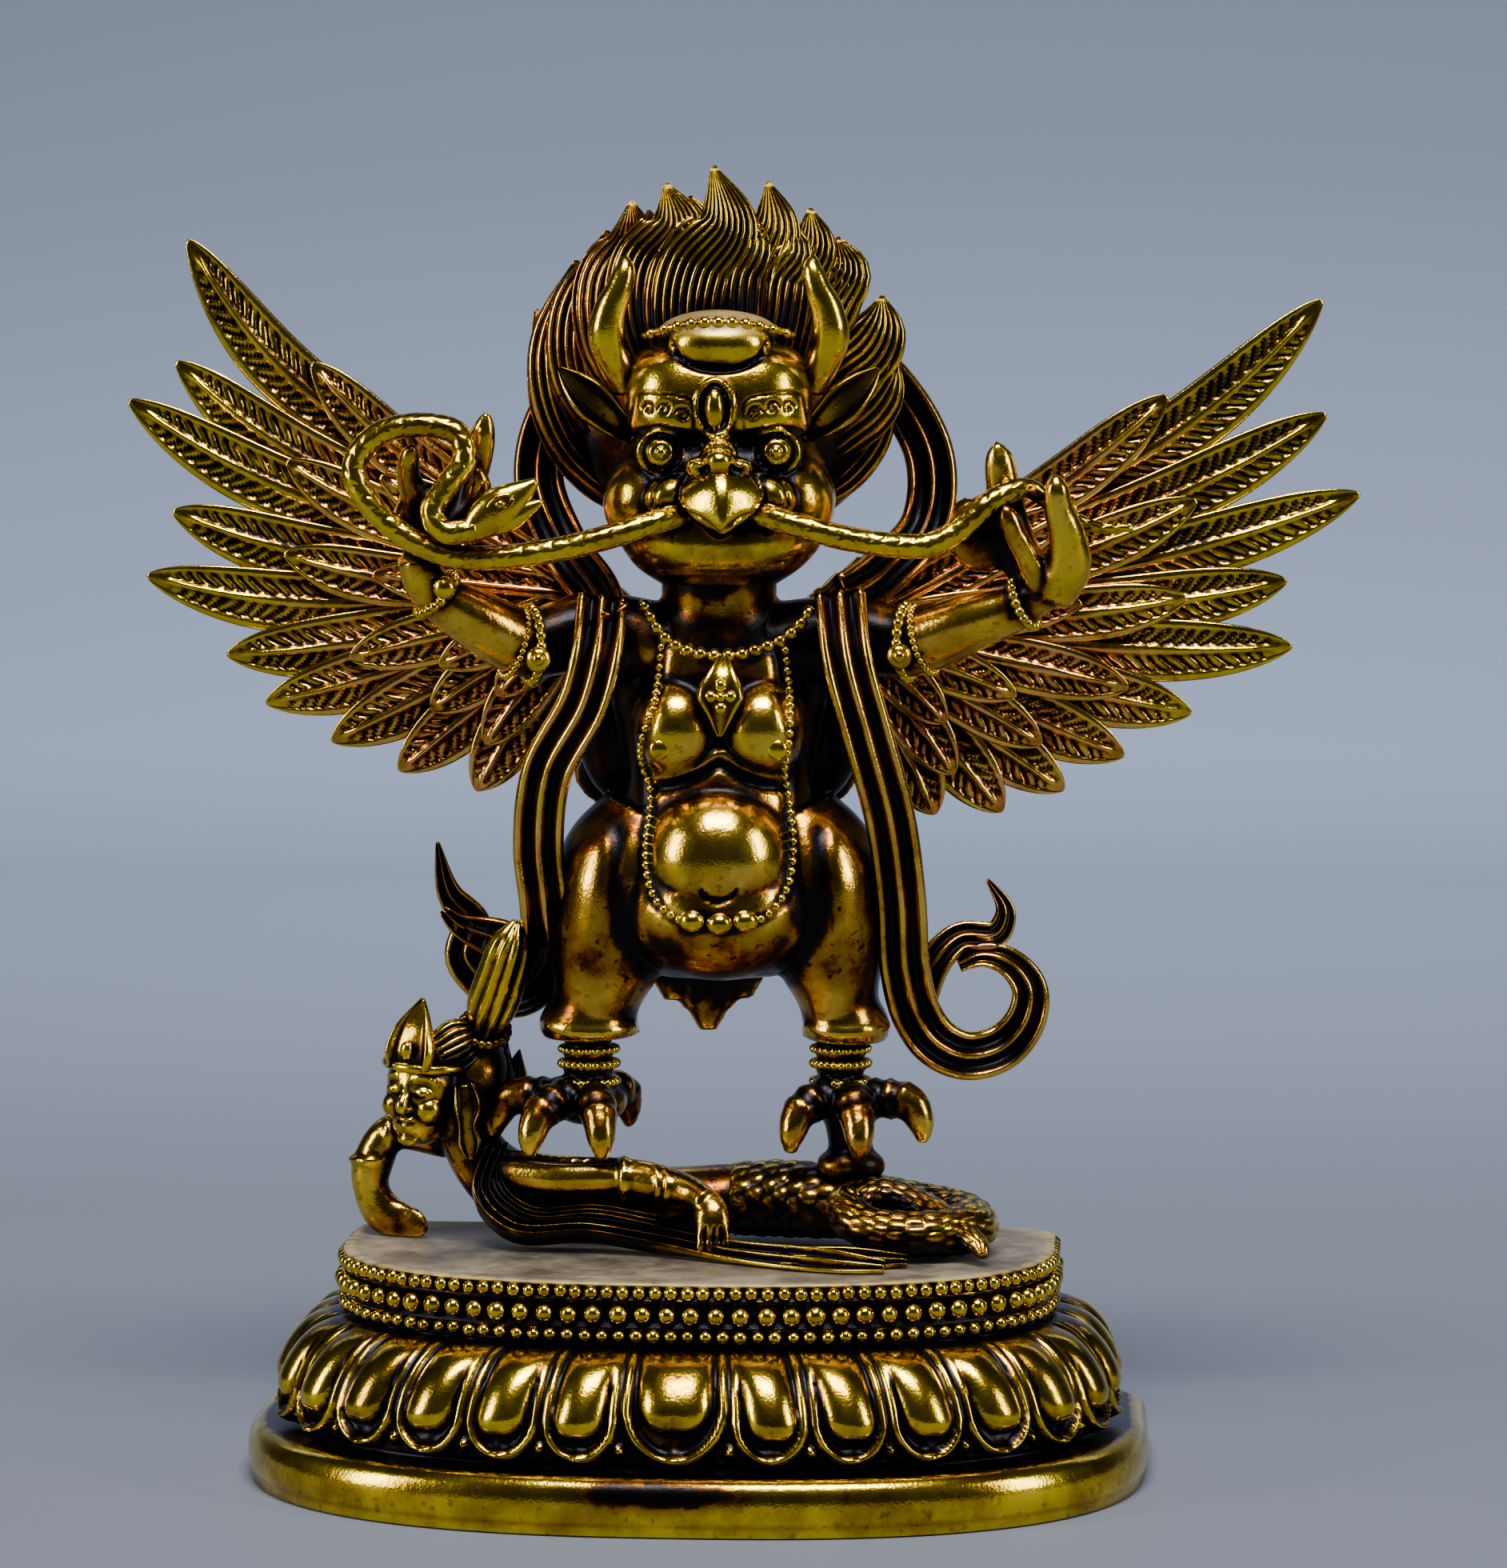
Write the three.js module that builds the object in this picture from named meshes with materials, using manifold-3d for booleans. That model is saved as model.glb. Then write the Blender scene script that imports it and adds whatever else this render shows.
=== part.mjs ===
// Garuda figure of cast brass, standing on a naga, on a lotus plinth.
// Millimetres, +Z up. The origin is the middle of the plinth's flat underside and the front faces -Y.
// The two figures are modelled in a frame of their own, which is turned a little on the plinth:
// x from the figure's middle, y towards its back, z up from the plinth's top.
import * as THREE from "three";
import { mergeVertices } from "three/addons/utils/BufferGeometryUtils.js";
import Module from "manifold-3d";

const wasm = await Module();
wasm.setup();

// Lotus plinth: a D-shaped plan with a flat back.
const plateHalfWidth = 59;
const plateFront = 44;
const plateBack = 18;
const plateHeight = 7.3;
const plateEdge = 0.9;
const plateBulge = 1.8;
const planRoundness = 2.5;
const backCorner = 5;
const backInsetShare = 0.35;
const frontArcShare = 0.76;
const sideShare = 0.92;
const petalFoot = 8.2;
const petalTop = 21.4;
const petalInset = 3.4;
const waistInset = 12.6;
const plinthTop = 29.5;
const centrePetalWidth = 14.2;
const petalsPerSide = 9;
const petalSwell = 2.4;
const petalGroove = 1.6;
const planSteps = 12;
const beadPitch = 3.1;
const beadSize = 2.4;
const beadRow = 25.5;
const fineRows = [28.4, 22.7];
const fineRowSwell = 0.7;

// Where the figures stand on the plinth, and the gap that separate castings keep.
const figureTurn = THREE.MathUtils.degToRad(4);
const figureOffset = 2.6;
const castingGap = 0.35;
const finestEdge = 0.05;
const finestHeight = 0.01;
const clearingRounds = 12;
const pegFoot = 9.2;

// Garuda: heights above the plinth's top, and widths from its middle.
const figureHeight = 140.3;
const headWide = 15;
const headMiddle = 102;
const wingDepth = 10;
const featherThick = 1.2;
const featherHalf = 3.9;
const featherRoot = 4;
const featherNotch = 0.34;
const rowGap = 0.6;
const ribbonHalf = 3;
const ribbonThick = 1;
const snakeRadius = 1.55;
const hairNotch = 0.6;

// Brass as cast: polished on the high places and dark in the hollows.
const brass = new THREE.MeshStandardMaterial({ color: 0x9c7f2a, roughness: 0.34, metalness: 1 });
const darkBrass = new THREE.MeshStandardMaterial({ color: 0x6b5623, roughness: 0.45, metalness: 1 });
const plinthBrass = new THREE.MeshStandardMaterial({ color: 0x8f7728, roughness: 0.3, metalness: 1 });

const v3 = (x, y, z) => new THREE.Vector3(x, y, z);
const front = v3(0, -1, 0);

// A solid from a geometry, whatever its own seams are.
function solid(geometry) {
  geometry.deleteAttribute("normal");
  geometry.deleteAttribute("uv");
  const merged = mergeVertices(geometry, 1e-4);
  return new wasm.Manifold(new wasm.Mesh({
    numProp: 3,
    vertProperties: new Float32Array(merged.attributes.position.array),
    triVerts: new Uint32Array(merged.index.array),
  }));
}

// One casting: its pieces joined, and the small hollows that they close in filled.
function cast(solids) {
  const shells = wasm.Manifold.union(solids).decompose();
  return shells.reduce((largest, shell) => (shell.volume() > largest.volume() ? shell : largest));
}

// One round of clearing needle-thin faces, which form where two pieces cross. A face with a very short
// edge goes, with its neighbour over that edge. A flat face gives its long edge up for the other diagonal
// of the two faces beside it. Says whether anything changed.
function clearNeedles(points, faces) {
  const around = points.map(() => []);
  faces.forEach((face, f) => face.forEach((corner) => around[corner].push(f)));
  const neighbours = (corner) => new Set(around[corner].flatMap((f) => faces[f]));
  const moved = new Set();
  const length = (a, b) => points[a].distanceTo(points[b]);
  const height = (a, b, c) => {
    const triangle = new THREE.Triangle(points[a], points[b], points[c]);
    return (2 * triangle.getArea()) / Math.max(length(a, b), length(b, c), length(c, a));
  };
  let changed = false;
  for (let f = 0; f < faces.length; f += 1) {
    if (!faces[f] || faces[f].some((corner) => moved.has(corner))) continue;
    const turns = [0, 1, 2].map((k) => [faces[f][k], faces[f][(k + 1) % 3], faces[f][(k + 2) % 3]]);
    turns.sort((one, other) => length(one[0], one[1]) - length(other[0], other[1]));
    const [start, end] = turns[0];
    const [a, b, c] = turns[2];
    const shared = [...neighbours(start)].filter((corner) => neighbours(end).has(corner));
    if (length(start, end) < finestEdge && shared.length === 4) {
      [...neighbours(start), ...neighbours(end)].forEach((corner) => moved.add(corner));
      for (const other of around[end]) {
        const face = faces[other];
        faces[other] = face.includes(start) ? null : face.map((corner) => (corner === end ? start : corner));
      }
      changed = true;
    } else if (height(a, b, c) < finestHeight) {
      const twin = around[a].find((other) => other !== f && faces[other].includes(b));
      const far = faces[twin].find((corner) => corner !== a && corner !== b);
      const better = Math.min(height(a, far, c), height(far, b, c)) > height(a, b, c);
      if (!better || moved.has(far) || neighbours(c).has(far)) continue;
      [faces[f], faces[twin]] = [[a, far, c], [far, b, c]];
      [a, b, c, far].forEach((corner) => moved.add(corner));
      changed = true;
    }
  }
  return changed;
}

function mesh(name, whole, material) {
  const { vertProperties, triVerts } = whole.getMesh();
  const points = [];
  for (let k = 0; k < vertProperties.length; k += 3) points.push(v3(...vertProperties.slice(k, k + 3)));
  let faces = [];
  for (let k = 0; k < triVerts.length; k += 3) faces.push([...triVerts.slice(k, k + 3)]);
  for (let round = 0; round < clearingRounds && clearNeedles(points, faces); round += 1) {
    faces = faces.filter((face) => face);
  }
  const geometry = new THREE.BufferGeometry();
  geometry.setAttribute("position", new THREE.BufferAttribute(new Float32Array(vertProperties), 3));
  geometry.setIndex(faces.flat());
  geometry.computeVertexNormals();
  const made = new THREE.Mesh(geometry, material);
  made.name = name;
  return made;
}

// A solid from flat lists of coordinates and of corners, with its faces turned outwards.
function closed(positions, index) {
  const corner = (i) => v3(positions[3 * i], positions[3 * i + 1], positions[3 * i + 2]);
  let volume = 0;
  for (let i = 0; i < index.length; i += 3) {
    volume += corner(index[i]).dot(corner(index[i + 1]).cross(corner(index[i + 2])));
  }
  const geometry = new THREE.BufferGeometry();
  geometry.setAttribute("position", new THREE.Float32BufferAttribute(positions, 3));
  geometry.setIndex(volume < 0 ? [...index].reverse() : index);
  return solid(geometry);
}

// A closed skin over rings that all start on the same side and turn the same way. Two neighbouring rings
// may have different numbers of points.
function skin(rings) {
  const positions = rings.flat().flatMap((p) => [p.x, p.y, p.z]);
  const starts = rings.reduce((list, ring) => [...list, list[list.length - 1] + ring.length], [0]);
  const corner = (ring, k) => starts[ring] + (k % rings[ring].length);
  const index = [];
  for (let ring = 0; ring + 1 < rings.length; ring += 1) {
    const [low, high] = [rings[ring].length, rings[ring + 1].length];
    for (let i = 0, j = 0; i < low || j < high;) {
      if ((i + 1) * high <= (j + 1) * low) {
        index.push(corner(ring, i), corner(ring, i + 1), corner(ring + 1, j));
        i += 1;
      } else {
        index.push(corner(ring, i), corner(ring + 1, j + 1), corner(ring + 1, j));
        j += 1;
      }
    }
  }
  for (const [ring, up] of [[0, false], [rings.length - 1, true]]) {
    const sides = rings[ring].length;
    const middle = rings[ring].reduce((sum, p) => sum.add(p), v3(0, 0, 0)).divideScalar(sides);
    const hub = positions.push(middle.x, middle.y, middle.z) / 3 - 1;
    for (let k = 0; k < sides; k += 1) {
      const [first, second] = up ? [k, k + 1] : [k + 1, k];
      index.push(corner(ring, first), corner(ring, second), hub);
    }
  }
  return closed(positions, index);
}

// Sections: across, then out to the front, both as shares of the half sizes.
const round = (sides) => Array.from({ length: sides }, (_, k) => {
  const angle = (2 * Math.PI * (k + 0.5)) / sides;
  return [Math.cos(angle), Math.sin(angle)];
});
const lockSection = [[-1, -0.3], [0, 1], [1, -0.3], [0, -1]];
const ribbonSection = [[-1, -0.4], [-0.5, 1], [0, 0.2], [0.5, 1], [1, -0.4]];

const between = (list, share) => {
  const place = Math.min(Math.max(share, 0), 1) * (list.length - 1);
  const k = Math.min(Math.floor(place), list.length - 2);
  return THREE.MathUtils.lerp(list[k], list[k + 1], place - k);
};

// A section swept along a smooth path. Each point of the path has its own half width and half depth.
function sweep(points, { section = round(6), steps = 6, facing = front } = {}) {
  const path = new THREE.CatmullRomCurve3(points.map((p) => v3(p[0], p[1], p[2])), false, "centripetal");
  const wide = points.map((p) => p[3]);
  const deep = points.map((p) => p[4] ?? p[3]);
  let out = facing.clone();
  const rings = [];
  for (let k = 0; k <= steps; k += 1) {
    const share = k / steps;
    const along = path.getTangent(share);
    const turned = facing.clone().addScaledVector(along, -facing.dot(along));
    out = turned.length() > 0.25 ? turned : out.addScaledVector(along, -out.dot(along));
    out = out.clone().normalize();
    const across = new THREE.Vector3().crossVectors(out, along);
    const middle = path.getPoint(share);
    const w = between(wide, share);
    const d = between(deep, share);
    rings.push(section.map(([a, b]) => middle.clone().addScaledVector(across, a * w)
      .addScaledVector(out, b * d)));
  }
  return skin(rings);
}

// A rounded mass with its own three half sizes.
function lump(x, y, z, rx, ry, rz, around = 10, high = 6) {
  const geometry = new THREE.SphereGeometry(1, around, high);
  geometry.rotateX(Math.PI / 2);
  geometry.scale(rx, ry, rz);
  geometry.translate(x, y, z);
  return solid(geometry);
}

// A row of ridged, pointed leaves that grow together at their roots. Each leaf has a root, a tip, the half
// width of its blade and a bend, a share of its length. The whole row is as thick as twice the ridge, and
// the leaves part from each other at the notch, a share of their length.
function leafRow(leaves, ridge, notchShare) {
  const positions = [];
  const index = [];
  const point = (p, out) => positions.push(p.x, p.y - out, p.z) / 3 - 1;
  const aside = ({ root, tip }) => front.clone().cross(tip.clone().sub(root)).normalize();
  const along = (leaf, share) => leaf.root.clone().lerp(leaf.tip, share)
    .addScaledVector(aside(leaf), leaf.bend * leaf.root.distanceTo(leaf.tip) * Math.sin(Math.PI * share));
  const bladeShare = notchShare / 2 + 0.49;
  const middleShare = bladeShare - 0.1;
  const reach = (leaf, other) => {
    const apart = along(leaf, bladeShare).distanceTo(along(other, bladeShare));
    return Math.min(leaf.half, 0.47 * apart);
  };
  const last = leaves.length - 1;
  const turn = Math.sign(aside(leaves[0]).dot(leaves[1].root.clone().sub(leaves[0].root))) || 1;
  const notches = [
    along(leaves[0], notchShare).addScaledVector(aside(leaves[0]), -turn * leaves[0].half * 0.8),
    ...leaves.slice(1).map((leaf, k) => along(leaf, notchShare).lerp(along(leaves[k], notchShare), 0.5)),
    along(leaves[last], notchShare).addScaledVector(aside(leaves[last]), turn * leaves[last].half * 0.8),
  ].map((p) => point(p, 0));
  const marks = leaves.map((leaf, k) => {
    const before = leaves[Math.max(k - 1, 0)];
    const after = leaves[Math.min(k + 1, last)];
    const blade = along(leaf, bladeShare);
    const side = aside(leaf);
    const widthTo = (other) => (other === leaf ? leaf.half : reach(leaf, other));
    return {
      root: [point(leaf.root, ridge), point(leaf.root, -ridge)],
      middle: [point(along(leaf, middleShare), ridge), point(along(leaf, middleShare), -ridge)],
      tip: point(leaf.tip, 0),
      left: point(blade.clone().addScaledVector(side, -turn * widthTo(before)), 0),
      right: point(blade.clone().addScaledVector(side, turn * widthTo(after)), 0),
    };
  });
  for (const [face, flip] of [[0, false], [1, true]]) {
    const add = (a, b, c) => index.push(...(flip ? [a, c, b] : [a, b, c]));
    marks.forEach(({ root, middle, tip, left, right }, k) => {
      add(root[face], notches[k], middle[face]);
      add(notches[k], left, middle[face]);
      add(left, tip, middle[face]);
      add(tip, right, middle[face]);
      add(right, notches[k + 1], middle[face]);
      add(notches[k + 1], root[face], middle[face]);
      if (k < last) add(root[face], notches[k + 1], marks[k + 1].root[face]);
    });
  }
  for (let k = 0; k < last; k += 1) {
    const [a, b] = [marks[k].root, marks[k + 1].root];
    index.push(a[0], b[0], a[1], b[0], b[1], a[1]);
  }
  index.push(notches[0], marks[0].root[0], marks[0].root[1]);
  index.push(marks[last].root[1], marks[last].root[0], notches[last + 1]);
  return closed(positions, index);
}

// Upright lofted body: each level is height, middle x, middle y, half width, half depth.
function upright(levels, sides) {
  const ring = ([z, x, y, w, d]) => round(sides).map(([a, b]) => v3(x + a * w, y - b * d, z));
  return skin(levels.map(ring));
}

// Half of the plinth's outline, drawn in from the base plate's edge by inset: share runs from the middle
// of the front (0) round the side to the end of the flat back (1). Side is 1 for +X and -1 for -X.
function rimPoint(inset, share, side) {
  const halfWidth = plateHalfWidth - inset;
  const frontDepth = plateFront - inset;
  const back = plateBack - inset * backInsetShare;
  if (share <= frontArcShare) {
    const angle = (share / frontArcShare) * (Math.PI / 2);
    const power = 2 / planRoundness;
    return new THREE.Vector2(
      side * halfWidth * Math.sin(angle) ** power,
      -frontDepth * Math.cos(angle) ** power,
    );
  }
  if (share <= sideShare) {
    const down = (share - frontArcShare) / (sideShare - frontArcShare);
    return new THREE.Vector2(side * halfWidth, down * (back - backCorner));
  }
  const angle = ((share - sideShare) / (1 - sideShare)) * (Math.PI / 2);
  return new THREE.Vector2(
    side * (halfWidth - backCorner * (1 - Math.cos(angle))),
    back - backCorner * (1 - Math.sin(angle)),
  );
}

// Shares of the half outline at even steps of length, measured on the outline at one inset.
function rimShares(inset) {
  const fine = 400;
  const shares = [0];
  const lengths = [0];
  for (let k = 1; k <= fine; k += 1) {
    shares.push(k / fine);
    lengths.push(lengths[k - 1]
      + rimPoint(inset, k / fine, 1).distanceTo(rimPoint(inset, (k - 1) / fine, 1)));
  }
  const at = (length) => {
    const k = lengths.findIndex((reached) => reached >= length);
    if (k < 0) return 1;
    if (k === 0) return 0;
    return THREE.MathUtils.mapLinear(length, lengths[k - 1], lengths[k], shares[k - 1], shares[k]);
  };
  return { at, total: lengths[fine] };
}

// A ring round the plinth. Columns are the places of its points on one half, as shares of the half
// outline's length, and how far each is lifted out from the wall.
function rimRing(inset, z, columns, lift = 0) {
  const { at, total } = rimShares(inset);
  const side = (list, sign) => list.map(([place, height]) => {
    const p = rimPoint(inset - height * lift, at(total * place), sign);
    return v3(p.x, p.y, z);
  });
  return [...side(columns, 1), ...side(columns.slice(1), -1).reverse()];
}

// Petals lie on a quarter round that runs from the foot up to the waist. Rise is 0 at the foot.
function petalSeat(rise) {
  const angle = rise * (Math.PI / 2);
  return {
    z: petalFoot + (petalTop - petalFoot) * Math.sin(angle),
    inset: petalInset + (waistInset - petalInset) * (1 - Math.cos(angle)),
  };
}

// Each petal is a swollen lobe: a crest, a shoulder on each side and a groove to its neighbour.
function petalColumns() {
  const length = rimShares(petalInset).total;
  const half = centrePetalWidth / 2 / length;
  const wide = (1 - half) / petalsPerSide;
  const lobe = [[0.2, 0.85], [0.5, 1], [0.8, 0.85], [1, 0]];
  const lobes = Array.from({ length: petalsPerSide }, (_, k) => (
    lobe.map(([share, lift]) => [half + (k + share) * wide, lift])));
  return [[0, 1], [half * 0.6, 0.85], [half, 0], ...lobes.flat()];
}

function lotusPlinth() {
  const even = (count, lift = () => 0) => (
    Array.from({ length: count + 1 }, (_, k) => [k / count, lift(k)]));
  const plain = even(planSteps);
  const petals = petalColumns();
  const beadCount = Math.round(rimShares(waistInset).total / beadPitch);
  const beads = even(2 * beadCount, (k) => (k % 2 ? 0 : 1));
  const seat = (rise, swell) => {
    const { z, inset } = petalSeat(rise);
    return rimRing(inset + petalGroove, z, petals, swell);
  };
  const wall = (z, swell = 0) => rimRing(waistInset - swell, z, plain);
  return skin([
    rimRing(plateEdge, 0, plain),
    rimRing(0, plateBulge, plain),
    rimRing(plateEdge / 2, plateHeight - plateEdge * 2, plain),
    rimRing(plateEdge * 3, plateHeight, plain),
    rimRing(petalInset + petalGroove + plateEdge, plateHeight + 0.2, plain),
    seat(0, 0.2), seat(0.08, petalSwell), seat(0.4, petalSwell), seat(0.75, petalSwell * 0.8), seat(1, 0.3),
    wall(fineRows[1] - beadSize / 4), wall(fineRows[1], fineRowSwell), wall(fineRows[1] + beadSize / 2),
    rimRing(waistInset, beadRow - beadSize / 2, beads),
    rimRing(waistInset, beadRow, beads, beadSize / 2),
    rimRing(waistInset, beadRow + beadSize / 2, beads),
    wall(fineRows[0] - beadSize / 2), wall(fineRows[0], fineRowSwell), wall(plinthTop),
  ]);
}

// The naga: a man's body down to the waist, lying on its chest with its head on the viewer's left, and a
// scaled tail that winds away to the right.
function naga() {
  const crown = [[-42, 2, 14, 3, 4], [-40, 2, 24, 3.4, 5], [-37.8, 4, 30.6, 0.6, 1]];
  const topknot = [[-32.5, 5, 25, 3], [-30, 1.4, 29.5, 2.4], [-28.6, -1, 34, 2.7],
    [-27.2, -2, 39, 2.3], [-26.2, -2, 42, 0.7]];
  const earring = [[-33.2, 0.5, 19.5, 1.2], [-32.6, 0.3, 16, 1.5], [-32.4, 0.4, 11.6, 1.2]];
  const chest = [[-34, 5, 15, 3.6], [-31, 5, 9, 4.2], [-26, 4, 5.4, 6, 5], [-16, 3, 4.6, 6.2, 4.6],
    [-6, 3, 4.4, 5.2, 4.2], [2, 3, 4.6, 4.8, 4.4], [10, 1, 4.8, 5.4, 4.6], [18, 0, 4.4, 5, 4.2]];
  const backArm = [[-36, 8, 12, 2.6], [-43.6, 7, 13, 2.5], [-46.3, 7, 5.5, 2.6],
    [-44.6, 6.5, 2.4, 2.9, 2.2], [-41, 5, 1.4, 2.2, 1.3]];
  const frontArm = [[-29, 1, 8.6, 3], [-21, -2.5, 8.2, 2.9], [-13, -4.5, 8.6, 2.5], [-9, -6, 8.3, 2.5],
    [-3.5, -9, 7.2, 1.9], [-1.6, -11, 5, 2.1, 1.6], [-1, -14, 1.2, 1.9, 0.9]];
  const tail = [[16, 0, 4.2, 4.8, 4], [25, -1, 3.6, 4.2, 3.4], [31.5, -5, 3.2, 3.8, 3],
    [32, -11, 3, 3.4, 2.8], [26, -14, 2.8, 3, 2.6], [19, -12.5, 3.4, 2.8, 2.5],
    [16.5, -8.5, 5.4, 2.6, 2.5], [21, -6, 6.6, 2.4, 2.1], [26, -8, 5.6, 2, 1.7],
    [30, -13, 4.2, 1.7, 1.4], [33.2, -17, 2, 1.4, 1.1], [33.8, -18.6, 0.9, 0.5, 0.4]];
  const scarfEdge = [[-29.4, 0, 11.4, 1.2, 1.6], [-30.6, -2.5, 6, 1.3, 1.8], [-26.6, -5.5, 2, 1.3, 1.9],
    [-17, -7, 2.2, 1.2, 1.8], [-8, -9, 1.4, 1.4, 1.6], [2, -15, 0.9, 1.6, 0.9],
    [14, -21.5, 0.9, 1.8, 0.8], [21, -23.4, 0.7, 0.9, 0.5]];
  const scarfFork = [[8, -18.6, 0.9, 1.3, 0.8], [17, -19.4, 0.9, 1.6, 0.8], [24, -18.8, 0.7, 0.8, 0.5]];
  const up = v3(0, 0, 1);
  const whole = cast([
    lump(-38.6, 4, 17, 5.2, 6.5, 7.6, 8, 6),
    lump(-31.5, 6, 21, 4.4, 6, 8, 8, 5),
    sweep(crown, { steps: 3 }),
    sweep(topknot, { steps: 6 }),
    sweep(earring, { section: round(4), steps: 2 }),
    sweep(chest, { section: round(8), steps: 9, facing: up }),
    sweep(backArm, { steps: 7 }),
    sweep(frontArm, { steps: 9 }),
    lump(-12.4, -4.9, 8.5, 1.1, 3.1, 3.1, 6, 4),
    sweep(tail, { steps: 18, facing: up }),
    sweep(scarfEdge, { section: round(4), steps: 11, facing: up }),
    sweep(scarfFork, { section: round(4), steps: 3, facing: up }),
  ]);
  const floor = new THREE.BoxGeometry(4 * plateHalfWidth, 4 * plateHalfWidth, plinthTop);
  floor.translate(0, 0, -plinthTop / 2);
  return cast([whole.subtract(solid(floor))]);
}

// Wings: feathers fan from a point behind each shoulder. Each feather is its angle above level, the
// distance of its root and of its tip from that point, in millimetres, and the bend of the longest ones.
const primaries = {
  left: [[41.5, 31, 71, 0.1], [29.5, 27, 63, 0.07], [23, 26, 66.4, 0.05], [11.5, 25, 56.6],
    [2.7, 22, 59], [-9, 19, 49], [-18, 16, 45.5], [-29, 14.5, 39.5], [-42, 13.5, 34.5], [-59, 13, 30]],
  right: [[34.6, 31, 76, 0.07], [24, 29, 69.2, 0.03], [14.6, 26, 70], [6, 25, 58.5],
    [-2.5, 23, 59], [-14, 20, 47], [-25, 17, 40.5], [-37, 15, 36], [-50, 14, 32], [-65, 12, 27.5]],
};
const coverts = {
  left: [[40, 24, 48], [24, 23, 44], [8, 20, 41], [-14, 14, 33], [-35, 11, 26], [-54, 10, 24]],
  right: [[36, 26, 52], [20, 24, 49], [5, 21, 45], [-12, 17, 38], [-31, 12, 30], [-54, 10, 24]],
};
const wingHub = { left: v3(-17, wingDepth, 84), right: v3(17, wingDepth, 80) };

function wing(side) {
  const sign = side === "left" ? -1 : 1;
  const hub = wingHub[side];
  const leaf = ([degrees, rootReach, tipReach, bend = 0], depth) => {
    const angle = THREE.MathUtils.degToRad(degrees);
    const away = v3(sign * Math.cos(angle), 0, Math.sin(angle));
    const place = (reach) => v3(hub.x, depth, hub.z).addScaledVector(away, reach);
    return {
      root: place(rootReach - featherRoot), tip: place(tipReach), half: featherHalf, bend: -sign * bend,
    };
  };
  const wingBone = [[5, 74, 8, 3.5], [14, 80, 10, 3.4], [26, 86, 10, 2.6], [38, 92, 7, 1.8],
    [44, 96, 2.5, 1.2]];
  const fan = (rows, depth) => leafRow(rows.map((row) => leaf(row, depth)), featherThick, featherNotch);
  return [
    sweep(wingBone.map(([x, z, half, thick]) => [sign * x, wingDepth, z, half, thick]), { steps: 3 }),
    fan(primaries[side], wingDepth + rowGap),
    fan(coverts[side], wingDepth - rowGap - 0.4),
  ];
}

// Flame hair: a thick round mass behind the head, and a row of pointed locks round its edge, with a
// shorter row at the back. Each lock is the x and z of its root and of its tip.
const edgeLocks = [[-14, 101, -24.8, 108], [-15, 105, -25.6, 118], [-14, 112, -22, 125.5],
  [-12, 114, -17, 131], [-9, 117, -11.3, 135.5], [-6, 118, -6.4, 138], [-1, 118, -0.7, figureHeight],
  [3, 118, 6.4, 138.1], [7, 117, 11.8, 134.4], [10, 115, 15.6, 130.8], [13, 111, 21.2, 123.2],
  [14, 105, 23.6, 115.4], [13, 100, 22.4, 106]];
const backLocks = [[-11, 103, -18, 118], [-6, 108, -10, 127], [0, 110, 0, 130], [6, 108, 9, 126],
  [10, 103, 16, 116]];

function hair() {
  const row = (locks, y, half, ridge) => leafRow(locks.map(([x0, z0, x1, z1]) => (
    { root: v3(x0, y, z0), tip: v3(x1, y, z1), half, bend: 0 })), ridge, hairNotch);
  return [
    lump(-1, 6, 109, 22.4, 7.5, 16.5, 8, 4),
    row(edgeLocks, 6, 4, 4),
    row(backLocks, 11.2, 4, 2.6),
  ];
}

function head() {
  const skull = [[87.5, 0, -1, 5, 5.5], [90, 0.2, -1, 10.4, 10], [93.6, 0.2, -0.5, 14.4, 12.4],
    [98, 0.2, 0, headWide, 13], [headMiddle + 1, 0.1, 0, 13.6, 12.6], [112, -0.2, 0, 12.4, 12],
    [116.4, 0, 0, 9.4, 9], [118, 0, 0, 4, 4]];
  const beak = [[0.4, -9.5, 101.4, 5, 4], [0.5, -13.4, 98.6, 5, 3.6], [0.7, -17.2, 95.8, 2.6, 2.2],
    [0.9, -18.2, 92.8, 0.5, 0.6]];
  const parts = [
    upright(skull, 10),
    sweep(beak, { steps: 4 }),
    lump(0.2, -13.2, 102.2, 3, 2.2, 1.7, 6, 4),
    lump(-0.5, -12.4, 108.6, 1.8, 1.3, 3, 6, 4),
    lump(0.2, -2.6, 91.5, 8.5, 10.6, 3.4, 8, 4),
  ];
  for (const sign of [-1, 1]) {
    parts.push(lump(sign * 5.2, -10.6, 97, 3.8, 3.6, 3.2, 6, 4));
    parts.push(lump(sign * 7.3, -11.3, 103.3, 2.5, 2.3, 2.2, 8, 4));
    const horn = [[12, -3, 113, 2.8], [14.3, -5.4, 117, 2.7], [14.9, -6, 121, 2.2],
      [12.4, -6.2, 127.6, 0.4]];
    const ear = [[11, -0.6, 104.5, 2, 1.6], [15.6, -1.6, 108, 3.4, 1.6], [20.6, -1.2, 114, 0.4, 0.4]];
    const mirrored = (path) => path.map(([x, ...rest]) => [sign * x, ...rest]);
    parts.push(sweep(mirrored(horn), { section: round(4), steps: 3 }));
    parts.push(sweep(mirrored(ear), { section: lockSection, steps: 2 }));
  }
  parts.push(lump(0.8, -6.6, 118.4, 8, 5, 3.4, 8, 4));
  parts.push(lump(0.7, -10.4, 116.2, 5.4, 2.4, 2.8, 8, 4));
  return parts;
}

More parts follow.
